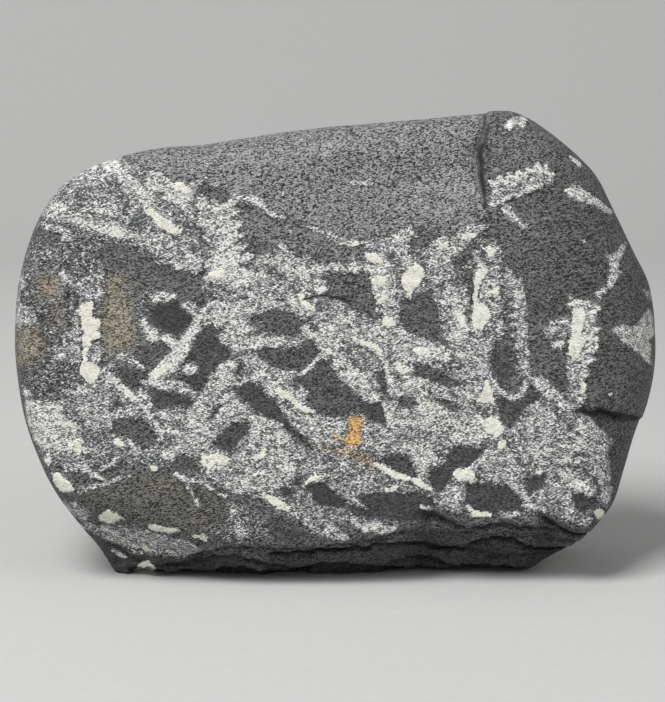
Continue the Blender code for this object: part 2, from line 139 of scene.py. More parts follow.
# The last fossil layer ends in a tongue on the right: its edge, top to bottom
TONGUE_EDGE = [(57.0, 41.0), (59.0, 41.8), (59.8, 42.8), (60.6, 43.3), (61.7, 44.1), (61.1, 44.6),
               (60.8, 45.5), (60.9, 46.8), (61.2, 47.8), (61.1, 49.0), (61.2, 50.0), (60.9, 51.0),
               (60.4, 51.5), (59.8, 52.0), (59.3, 52.7), (58.6, 53.6)]
TONGUE_STEP = 0.9 * MM
TONGUE_START = 2.5 * MM

# The layer above the lost one ends in a crack, from the tongue to the slab's right side
RIGHT_CRACK = [(57.0, 40.7), (60.0, 41.0), (61.2, 41.3), (62.4, 41.7), (64.2, 41.8), (67.0, 42.3)]
RIGHT_JOINT = 0.6 * MM
OFF_THE_SLAB = 1.0               # further right than all of the slab, in metres

# The back thins upwards: partly by its slope, partly in terraces where layers have split off
BACK_SPLIT = 3.2 * MM
BACK_RELIEF = [(1.1 * MM, 19.0 * MM, 12.0 * MM, 43), (0.30 * MM, 5.0 * MM, 4.0 * MM, 47)]
TERRACE = 1.0 * MM
TERRACE_EDGE = 0.09
BACK_ROUND = 2.8 * MM
BACK_ROUND_SHARE = 0.40

# The sides show the bedding: (depth behind the face, how far the layer behind it stands out)
SIDE_LAYERS = [(3.2, -0.32), (5.0, 0.30), (6.8, -0.34), (8.4, 0.36), (10.3, -0.38), (12.2, 0.40),
               (14.4, -0.32)]
SIDE_LAYER_EDGE = 0.5 * MM
SIDE_WANDER = [(0.7 * MM, 9.0 * MM, 1.0, 23)]
SIDE_STRENGTH = [(0.4, 6.0 * MM, 1.0, 37)]
SIDE_STRENGTH_MIDDLE = 0.6
SIDE_GROOVE = 0.22 * MM
SIDE_BULGE = 0.15 * MM

# Low relief, as (height, length across, length up, seed), from random values on a lattice
LATTICE = 64
FACE_DEPTH = 0.25 * MM
FACE_LUMPS = [(0.22 * MM, 9.0 * MM, 7.0 * MM, 3), (0.08 * MM, 3.2 * MM, 2.6 * MM, 5)]
BACK_LUMPS = [(0.40 * MM, 11.0 * MM, 8.0 * MM, 11), (0.14 * MM, 4.0 * MM, 3.0 * MM, 13)]
SIDE_LUMPS = [(0.25 * MM, 5.0 * MM, 5.0 * MM, 29)]

# Finer relief, which only this surface has
FACE_GRAIN = [(0.045 * MM, 1.3 * MM, 0.9 * MM, 51), (0.030 * MM, 0.55 * MM, 0.45 * MM, 52)]
STREAK_GRAIN = [(0.055 * MM, 3.2 * MM, 0.45 * MM, 53), (0.040 * MM, 1.6 * MM, 0.30 * MM, 54)]
BACK_GRAIN = [(0.110 * MM, 2.4 * MM, 1.3 * MM, 55), (0.070 * MM, 0.9 * MM, 0.5 * MM, 60)]
SIDE_LAMINAE = [(0.10 * MM, 7.0 * MM, 0.9 * MM, 56), (0.06 * MM, 2.5 * MM, 1.1 * MM, 57)]
FOOT_GRAIN = [(0.16 * MM, 1.5 * MM, 0.35 * MM, 58), (0.10 * MM, 0.6 * MM, 0.30 * MM, 59)]
FILM_RISE = 0.05 * MM            # how far the films stand up from the shale
CREAM_RISE = 0.06 * MM
BARE_DROP = 0.10 * MM            # how far the places that have lost their film lie back
CRACK_DROP = 0.16 * MM

# How finely the surface is drawn: the back and the sides take every third line of the face
COARSE = 3
SIDE_ROWS = 22
SIDE_CROWD = (3.0, 0.030)        # how much closer the lines lie at a worn edge, and how far in
FOOT_CROWD = (1.2, 0.16)
SPREAD_STEPS = 40                # steps to each line, where the lines' places are worked out
POINTS_PER_SPAN = 12
SWELL_POWER = 0.5                # below 1, the sides swell out steeply from their two rims
RELIEF_FADE = 1.0 * MM           # the finer relief fades out this close to the outline
RIM_FADE = 2.2 * MM              # how far the films run round the edge on to the sides
GAP_TO_FLOOR = 0.02 * MM

# How the marks are drawn on the map, in map millimetres
MARK_SOFTNESS = 0.16             # a patch's edge fades this far to each side of its outline
FIELD_SOFTNESS = 0.6             # the same for a broad field, a brown stain and the olive ground
LINE_SOFTNESS = 0.18             # a strand, or a crack, fades out over this much beyond its edge
LINE_WIDENING = 0.03             # how much wider than listed a strand is drawn, on each side
NEAR = 2.0                       # how far from a mark's box it is still worked out
WANDER = [(0.10, 0.9, 0.9, 61), (0.07, 0.42, 0.42, 62)]    # how the marks' edges wander to the right
WANDER_DOWN = [(0.10, 0.9, 0.9, 63), (0.07, 0.42, 0.42, 64)]

# Broad fields of thin broken film between the whole ones, partly painted light paling the left: (how whole,
# outline)
FILM_AND_LIGHT_FIELDS = [
    (0.36, [(20.0, 23.6), (24.4, 26.4), (28.0, 25.4), (33.0, 26.6), (37.0, 25.2), (43.0, 24.6), (48.0, 23.6),
            (50.0, 24.6), (50.6, 28.0), (50.4, 33.0), (49.0, 37.0), (51.4, 41.2), (55.6, 40.6), (60.4, 43.6),
            (60.8, 49.6), (58.6, 52.0), (54.0, 51.4), (48.0, 51.2), (43.4, 50.4), (36.0, 52.6), (30.0, 52.0),
            (25.6, 49.8), (21.0, 48.4), (16.4, 46.8), (12.6, 46.4), (8.6, 47.0), (4.4, 46.0), (2.8, 42.4),
            (3.4, 40.2), (7.0, 39.6), (8.2, 36.4), (10.6, 37.4), (14.4, 40.4), (18.6, 40.4), (19.4, 36.4),
            (18.6, 33.6), (21.4, 30.4), (20.4, 28.0)]),
    (0.40, [(3.6, 22.6), (4.6, 20.4), (7.0, 17.9), (11.0, 16.0), (13.4, 16.2), (15.4, 17.4), (19.6, 19.6),
            (20.4, 24.0), (19.6, 27.4), (14.6, 25.4), (12.8, 24.4), (8.0, 23.6)]),
    (0.20, [(2.6, 24.0), (8.0, 23.6), (14.6, 25.6), (17.0, 28.0), (15.0, 30.0), (14.0, 36.0), (10.0, 40.0),
            (3.0, 40.0), (1.8, 34.0), (2.0, 28.0)]),
    (0.22, [(19.0, 49.4), (24.8, 50.4), (27.0, 52.6), (31.0, 54.0), (22.0, 54.6), (19.6, 52.6)]),
]

# Silver films of graptolite tissue, which the dark places cut into: (how whole the film is, its outline)
FILM_PATCHES = [
    # top left, from the rim to the toothed body
    (0.78, [(14.5, 17.6), (14.8, 16.8), (15.5, 17.1), (16.2, 17.3), (17.0, 18.0), (17.8, 18.4), (19.0, 18.2),
            (20.0, 17.9), (20.7, 17.6), (20.4, 18.2), (19.8, 18.8), (19.3, 19.6), (19.4, 20.4), (19.0, 21.4),
            (18.6, 21.6), (18.2, 20.9), (17.6, 20.3), (16.6, 20.0), (16.2, 19.2), (15.6, 18.9), (15.2, 19.6),
            (14.7, 18.9), (14.4, 18.3)]),
    (0.64, [(4.2, 21.3), (5.0, 20.4), (5.8, 20.2), (6.6, 20.5), (7.2, 20.9), (8.2, 20.7), (8.8, 21.0),
            (8.4, 21.6), (8.8, 22.0), (9.8, 22.2), (12.2, 22.3), (13.0, 23.0), (13.9, 23.2), (13.6, 23.7),
            (12.8, 24.0), (11.2, 23.6), (8.6, 22.9), (7.2, 22.5), (5.8, 22.2), (4.8, 21.9)]),
    (0.70, [(10.3, 20.6), (10.9, 20.2), (11.6, 20.4), (12.3, 20.6), (12.4, 21.3), (11.4, 21.2),
            (10.4, 21.0)]),
    (0.58, [(4.8, 22.6), (5.6, 22.6), (6.4, 22.9), (6.2, 23.3), (5.2, 23.2)]),
    (0.72, [(6.0, 23.6), (6.8, 23.2), (7.5, 23.6), (7.3, 24.2), (6.5, 24.2), (6.1, 24.0)]),
    (0.60, [(14.0, 23.0), (15.2, 23.2), (16.4, 23.6), (17.6, 24.0), (18.6, 24.6), (19.8, 25.2), (20.2, 26.2),
            (20.2, 27.4), (19.2, 27.0), (18.2, 26.8), (17.0, 26.4), (16.0, 25.9), (15.2, 25.3),
            (14.6, 24.4)]),
    # the left column
    (0.52, [(6.6, 27.8), (7.6, 28.0), (8.6, 27.6), (9.6, 27.5), (10.4, 27.3), (10.6, 28.5), (10.3, 29.9),
            (8.2, 30.0), (7.6, 29.4), (7.0, 28.8)]),
    (0.50, [(7.0, 30.2), (7.8, 31.2), (8.2, 32.2), (8.0, 33.6), (8.0, 36.0), (7.2, 36.2), (6.6, 35.0),
            (6.4, 34.2), (6.6, 33.4), (7.2, 32.4), (6.9, 31.2)]),
    (0.66, [(9.0, 34.2), (10.0, 34.6), (10.2, 35.6), (9.9, 36.6), (9.0, 36.0)]),
    (0.60, [(1.7, 30.4), (2.6, 30.6), (3.4, 31.0), (3.9, 31.9), (3.2, 32.4), (2.2, 32.9), (1.7, 33.4)]),
    (0.52, [(7.0, 38.0), (8.6, 38.4), (9.4, 38.6), (10.2, 37.0), (11.2, 37.4), (12.2, 38.8), (13.6, 39.8),
            (12.6, 40.4), (11.4, 39.8), (10.8, 40.4), (10.9, 42.5), (10.0, 43.2), (8.6, 42.6), (7.4, 41.0)]),
    # round the diagonal bar
    (0.60, [(18.1, 30.4), (19.0, 30.0), (19.6, 30.4), (20.0, 31.0), (19.8, 31.6), (19.2, 31.8),
            (18.8, 31.2)]),
    (0.72, [(15.8, 33.5), (16.8, 33.6), (17.8, 33.9), (17.6, 34.6), (17.4, 34.9), (16.8, 34.4),
            (16.0, 34.0)]),
    (0.66, [(20.9, 31.2), (21.6, 30.4), (22.6, 30.2), (23.6, 30.0), (24.6, 29.6), (25.4, 30.2), (25.0, 31.6),
            (25.0, 32.6), (25.2, 33.6), (24.4, 34.0), (23.8, 34.6), (24.4, 35.0), (23.0, 34.8), (22.4, 34.2),
            (21.8, 33.6), (22.6, 32.9), (21.6, 32.5), (20.2, 32.4), (20.2, 31.9)]),
    (0.64, [(24.4, 29.2), (25.6, 29.0), (26.4, 29.8), (28.2, 30.0), (29.6, 29.4), (30.6, 30.2), (31.6, 31.2),
            (31.8, 31.8), (30.4, 31.6), (29.4, 31.2), (28.2, 30.8), (27.0, 30.8), (25.8, 31.2),
            (25.0, 31.4)]),
    (0.66, [(25.2, 26.6), (25.6, 25.9), (26.2, 25.3), (27.0, 25.3), (27.5, 25.8), (27.4, 24.6), (28.2, 24.3),
            (28.8, 24.6), (29.2, 25.2), (30.0, 26.0), (30.6, 25.4), (31.0, 25.2), (31.0, 26.0), (32.0, 26.4),
            (34.0, 26.2), (37.0, 26.4), (37.0, 27.2), (34.0, 27.2), (31.2, 27.3), (30.8, 28.6), (31.2, 29.7),
            (30.0, 29.6), (29.4, 28.6), (28.6, 27.6), (27.4, 27.2), (26.4, 27.0)]),
    (0.50, [(25.8, 27.2), (27.4, 27.3), (28.6, 27.8), (29.6, 28.8), (29.8, 29.8), (28.0, 29.8), (26.2, 29.9),
            (25.4, 29.0)]),
    (0.58, [(31.6, 31.6), (32.6, 30.8), (33.4, 30.2), (34.4, 30.3), (35.2, 30.9), (36.2, 31.3), (37.2, 31.8),
            (38.2, 32.4), (38.0, 33.2), (36.4, 33.0), (34.6, 32.8), (33.4, 32.4)]),
    (0.66, [(24.4, 35.4), (25.2, 35.0), (26.0, 35.8), (26.8, 36.4), (27.8, 37.0), (29.8, 37.2), (28.6, 37.9),
            (28.8, 38.6), (29.6, 39.5), (27.4, 38.9), (27.6, 39.8), (28.4, 40.6), (29.2, 41.4), (30.4, 41.8),
            (30.2, 42.6), (29.2, 42.4), (28.4, 41.4), (27.6, 40.2), (26.8, 39.4), (26.0, 38.4), (25.4, 38.0),
            (24.0, 38.5), (23.6, 38.2), (24.4, 37.7), (25.0, 37.3), (24.6, 36.4)]),
    (0.62, [(13.4, 39.2), (14.0, 38.8), (14.8, 38.9), (15.1, 39.8), (15.3, 40.8), (14.6, 40.8),
            (14.0, 40.0)]),
    (0.60, [(15.6, 41.1), (16.8, 40.9), (18.0, 41.2), (18.6, 41.6), (18.0, 42.2), (16.8, 42.0),
            (15.8, 41.8)]),
    (0.64, [(11.0, 41.2), (12.4, 40.8), (13.6, 40.9), (14.4, 41.4), (13.2, 41.8), (11.6, 41.8)]),
    (0.62, [(33.2, 35.4), (34.0, 35.0), (34.8, 35.6), (34.8, 36.4), (33.6, 37.2), (33.0, 36.6)]),
    # the broad film across the lower middle
    (0.62, [(19.0, 40.2), (20.4, 39.6), (22.2, 39.4), (23.2, 39.2), (24.2, 40.2), (25.4, 41.2), (26.6, 42.0),
            (27.8, 42.6), (28.4, 43.2), (29.2, 44.0), (30.2, 44.8), (31.0, 45.6), (30.0, 46.0), (28.8, 45.4),
            (27.6, 44.4), (26.2, 44.2), (25.0, 44.6), (24.6, 43.2), (25.2, 42.2), (24.0, 42.0), (22.8, 42.6),
            (21.6, 43.6), (21.0, 44.6), (20.0, 45.2), (18.8, 45.4), (18.0, 44.6), (17.8, 43.2),
            (18.4, 42.0)]),
    (0.60, [(20.0, 45.4), (21.4, 44.8), (23.2, 45.2), (24.6, 44.4), (26.2, 43.8), (27.8, 43.6), (29.0, 44.2),
            (30.2, 45.2), (30.0, 46.6), (29.4, 47.8), (28.6, 48.6), (27.6, 49.2), (26.2, 49.6), (24.8, 49.4),
            (23.0, 49.2), (21.8, 48.4), (20.6, 47.6), (20.2, 46.6)]),
    (0.42, [(30.2, 45.2), (31.8, 45.2), (33.6, 45.6), (35.4, 46.6), (37.0, 47.6), (37.8, 48.6), (37.0, 49.4),
            (35.8, 49.6), (34.2, 49.0), (33.2, 48.2), (31.8, 47.6), (30.4, 47.2)]),
    (0.68, [(28.6, 42.0), (30.0, 41.4), (31.6, 41.6), (33.4, 42.0), (34.8, 41.8), (34.6, 43.6), (33.2, 44.6),
            (31.6, 44.4), (30.4, 43.4), (29.4, 42.8)]),
    (0.50, [(24.8, 49.6), (26.6, 50.0), (28.0, 51.2), (29.6, 52.0), (30.8, 52.8), (32.0, 53.4), (33.0, 54.0),
            (34.2, 53.6), (33.6, 52.6), (32.4, 51.8), (31.4, 51.2), (29.8, 50.8), (28.6, 50.2),
            (27.2, 49.6)]),
    (0.48, [(30.8, 52.6), (32.2, 53.0), (33.4, 53.0), (34.6, 53.4), (35.2, 54.0), (33.2, 54.0),
            (31.8, 53.6)]),
    (0.56, [(36.4, 42.4), (38.0, 42.6), (41.0, 43.0), (44.0, 43.2), (44.4, 45.0), (41.0, 45.2), (37.6, 45.6),
            (36.4, 44.4)]),
    # left of the middle, down to the foot
    (0.78, [(2.4, 40.0), (3.4, 40.0), (4.4, 40.2), (5.4, 40.0), (6.2, 40.8), (6.8, 41.8), (7.6, 42.4),
            (8.4, 43.6), (8.6, 44.8), (8.0, 45.6), (6.2, 45.2), (5.2, 45.0), (4.4, 45.2), (3.8, 44.6),
            (3.2, 43.4), (2.8, 42.2)]),
    (0.72, [(2.2, 38.6), (2.7, 38.9), (3.4, 39.6), (2.8, 39.9), (2.4, 39.8)]),
    (0.36, [(5.7, 45.8), (8.4, 45.8), (8.8, 47.2), (6.4, 47.2)]),
    (0.50, [(6.2, 50.2), (7.2, 50.0), (8.4, 50.4), (9.2, 51.2), (8.6, 52.2), (7.6, 51.8)]),
    (0.50, [(8.0, 52.0), (10.2, 52.6), (12.0, 52.6), (14.6, 53.0), (17.0, 53.8), (19.0, 54.2), (20.4, 55.0),
            (18.6, 55.8), (16.4, 55.6), (14.4, 54.8), (12.4, 54.6), (10.6, 54.0), (8.8, 53.0)]),
    (0.50, [(22.9, 50.2), (23.6, 50.6), (24.0, 51.8), (24.6, 52.8), (24.6, 54.0), (23.8, 54.4), (23.4, 53.2),
            (23.0, 52.0)]),
    # under the lip, to the right
    (0.62, [(32.6, 23.7), (34.6, 23.8), (36.6, 24.0), (38.6, 23.6), (40.2, 23.0), (41.4, 22.4), (41.2, 23.2),
            (41.9, 23.8), (41.0, 24.6), (40.6, 25.2), (41.4, 25.6), (42.6, 25.0), (43.4, 24.0), (44.4, 23.6),
            (45.2, 24.0), (45.6, 23.4), (46.6, 22.6), (47.4, 22.3), (48.6, 22.3), (48.9, 22.7), (48.2, 23.1),
            (47.6, 23.6), (47.0, 24.2), (46.4, 24.8), (45.6, 25.6), (45.0, 26.2), (45.0, 27.0), (43.2, 26.6),
            (42.4, 25.8), (41.2, 26.0), (40.2, 26.2), (39.6, 25.6), (38.2, 25.4), (36.8, 25.0), (36.2, 24.4),
            (34.6, 24.6), (33.6, 24.4)]),
    (0.55, [(30.2, 22.3), (32.5, 22.7), (34.5, 23.9), (33.6, 24.2), (31.6, 23.2)]),
    # the stipe at the middle, and the tuning fork to its right
    (0.68, [(36.6, 25.0), (38.2, 25.4), (39.4, 26.6), (38.8, 27.0), (39.0, 28.4), (39.8, 28.6), (40.2, 29.2),
            (39.4, 29.6), (39.8, 30.2), (39.4, 30.8), (39.8, 31.6), (40.2, 32.6), (38.0, 32.6), (38.2, 31.6),
            (37.6, 31.0), (37.7, 30.2), (37.2, 29.0), (37.0, 27.6), (36.9, 26.6)]),
    (0.46, [(42.6, 26.6), (44.0, 26.2), (45.2, 26.4), (45.0, 28.0), (44.2, 28.4), (43.4, 28.2), (42.6, 29.0),
            (42.0, 29.2)]),
    (0.70, [(45.0, 28.2), (44.6, 29.0), (43.3, 29.6), (44.4, 29.8), (43.7, 30.4), (44.6, 30.7), (43.8, 31.5),
            (44.9, 31.9), (44.1, 32.8), (45.2, 33.2), (44.4, 33.9), (45.4, 34.2), (44.6, 34.8), (45.8, 35.0),
            (45.2, 35.8), (46.4, 35.6), (46.8, 34.6), (47.0, 33.2), (46.8, 32.0), (46.2, 31.2), (46.9, 30.2),
            (46.6, 29.2), (45.6, 28.8)]),
    (0.52, [(48.8, 27.4), (49.6, 26.6), (50.4, 27.4), (50.2, 28.8), (50.4, 30.0), (50.2, 31.0), (50.6, 32.4),
            (50.5, 33.6), (49.6, 34.0), (48.8, 33.6), (48.2, 34.2), (47.2, 34.0), (47.0, 33.4), (48.2, 33.0),
            (49.4, 32.0), (48.8, 30.6), (47.8, 30.0), (48.2, 28.2)]),
    (0.58, [(45.6, 34.6), (47.0, 33.8), (48.6, 34.0), (49.4, 34.6), (48.9, 35.6), (48.8, 36.6), (49.2, 37.2),
            (49.2, 38.0), (48.0, 38.2), (46.6, 37.8), (45.4, 37.6), (46.6, 36.8), (46.2, 36.0),
            (45.2, 35.6)]),
    # the outer limb of the fork, toothed on its left
    (0.56, [(50.4, 26.8), (51.0, 27.0), (51.8, 27.9), (52.3, 27.7), (52.3, 28.9), (52.6, 30.0), (52.7, 31.4),
            (52.8, 33.0), (52.9, 35.0), (53.1, 36.8), (53.1, 38.0), (52.7, 38.9), (52.0, 39.6), (51.4, 40.1),
            (51.2, 39.7), (52.0, 39.0), (52.3, 38.3), (51.5, 37.9), (52.1, 37.3), (51.4, 36.7), (52.0, 36.2),
            (51.3, 35.5), (51.9, 35.1), (51.0, 34.5), (51.8, 34.1), (50.9, 33.5), (51.7, 33.1), (50.9, 32.5),
            (51.6, 32.1), (50.8, 31.5), (51.5, 31.1), (50.7, 30.5), (51.2, 30.0), (50.3, 29.4),
            (50.2, 28.4)]),
    # the bands below them
    (0.70, [(33.4, 32.4), (36.0, 33.0), (38.0, 32.6), (40.2, 32.7), (41.6, 33.3), (43.4, 34.2), (45.0, 35.0),
            (45.4, 36.0), (44.6, 36.3), (43.4, 36.0), (42.4, 36.4), (41.2, 36.0), (40.4, 36.4), (39.6, 35.4),
            (38.6, 34.9), (37.6, 34.6), (36.0, 34.2), (34.4, 34.0), (33.4, 33.8)]),
    (0.62, [(38.9, 36.2), (40.2, 36.2), (41.6, 36.8), (41.8, 37.4), (43.0, 38.2), (44.0, 39.0), (44.8, 39.9),
            (42.4, 40.0), (40.2, 39.8), (39.2, 39.6), (39.0, 38.4)]),
    (0.66, [(45.2, 39.0), (46.0, 38.4), (47.2, 38.0), (48.2, 38.0), (48.0, 39.2), (47.2, 40.2), (46.2, 40.9),
            (45.6, 40.4), (45.4, 39.6)]),
    (0.64, [(38.6, 40.0), (40.4, 40.0), (42.4, 39.9), (44.6, 40.2), (46.4, 41.2), (48.0, 41.4), (50.4, 42.6),
            (50.6, 44.4), (48.6, 44.0), (46.4, 43.2), (44.4, 43.4), (42.4, 43.2), (40.2, 43.4),
            (38.8, 42.4)]),
    (0.50, [(47.9, 40.3), (49.8, 40.5), (49.8, 41.6), (48.0, 41.4)]),
    (0.72, [(44.6, 43.6), (46.0, 43.1), (47.6, 43.2), (48.4, 43.8), (48.0, 44.4), (46.2, 44.6),
            (44.8, 44.6)]),
    (0.54, [(48.3, 44.8), (51.4, 44.8), (52.6, 46.8), (51.6, 48.0), (48.6, 48.0), (48.2, 46.6)]),
    (0.64, [(44.6, 49.2), (45.4, 48.4), (46.4, 48.4), (47.2, 49.2), (46.6, 50.0), (46.6, 51.0), (45.6, 51.4),
            (44.6, 50.8), (43.6, 50.4), (44.2, 49.8)]),
    # right of the fork, and the rim
    (0.50, [(54.4, 32.8), (55.4, 32.0), (56.6, 31.6), (57.0, 31.6), (56.8, 33.4), (55.6, 33.8),
            (54.6, 33.6)]),
    (0.74, [(61.2, 33.0), (61.6, 32.5), (62.4, 32.4), (63.0, 32.7), (63.8, 32.3), (64.4, 31.4), (64.8, 30.9),
            (65.2, 31.4), (65.3, 32.6), (65.5, 33.4), (65.0, 34.0), (65.1, 35.0), (65.2, 36.6), (64.6, 36.2),
            (64.0, 35.6), (63.2, 34.9), (62.4, 34.3), (61.8, 33.6)]),
    (0.66, [(64.2, 29.0), (65.0, 29.2), (65.1, 30.0), (64.6, 29.6)]),
    (0.54, [(49.0, 18.1), (49.6, 18.5), (49.9, 17.6), (50.6, 18.3), (50.9, 17.4), (51.5, 18.0), (51.9, 17.2),
            (52.5, 17.7), (52.9, 16.9), (53.3, 17.3), (53.7, 16.4), (54.2, 17.3), (54.6, 16.5), (54.9, 17.4),
            (55.4, 17.5), (55.3, 18.4), (54.2, 18.5), (53.2, 19.0), (52.0, 19.5), (51.0, 19.7), (50.0, 20.3),
            (49.2, 20.4), (48.9, 19.8), (49.2, 19.2)]),
    # the tongue
    (0.56, [(52.2, 41.6), (53.0, 40.6), (54.2, 40.0), (55.2, 40.6), (56.4, 41.4), (57.4, 41.3), (58.6, 41.5),
            (59.4, 42.0), (60.0, 42.8), (60.8, 43.4), (61.6, 44.1), (61.0, 44.6), (60.8, 45.6), (61.0, 46.8),
            (61.1, 47.6), (60.8, 48.4), (60.0, 47.8), (59.2, 47.2), (58.4, 46.8), (57.2, 46.6), (56.2, 46.4),
            (55.0, 47.2), (54.0, 47.4), (52.8, 47.2), (52.2, 46.4), (51.8, 45.2), (52.0, 44.2), (52.6, 43.6),
            (52.0, 42.8)]),
    (0.40, [(53.4, 48.2), (55.2, 47.8), (55.8, 49.4), (55.4, 51.2), (54.0, 51.0), (53.0, 49.8)]),
    (0.42, [(57.6, 51.9), (58.6, 51.5), (59.5, 51.8), (58.8, 52.7), (57.6, 52.5)]),
]

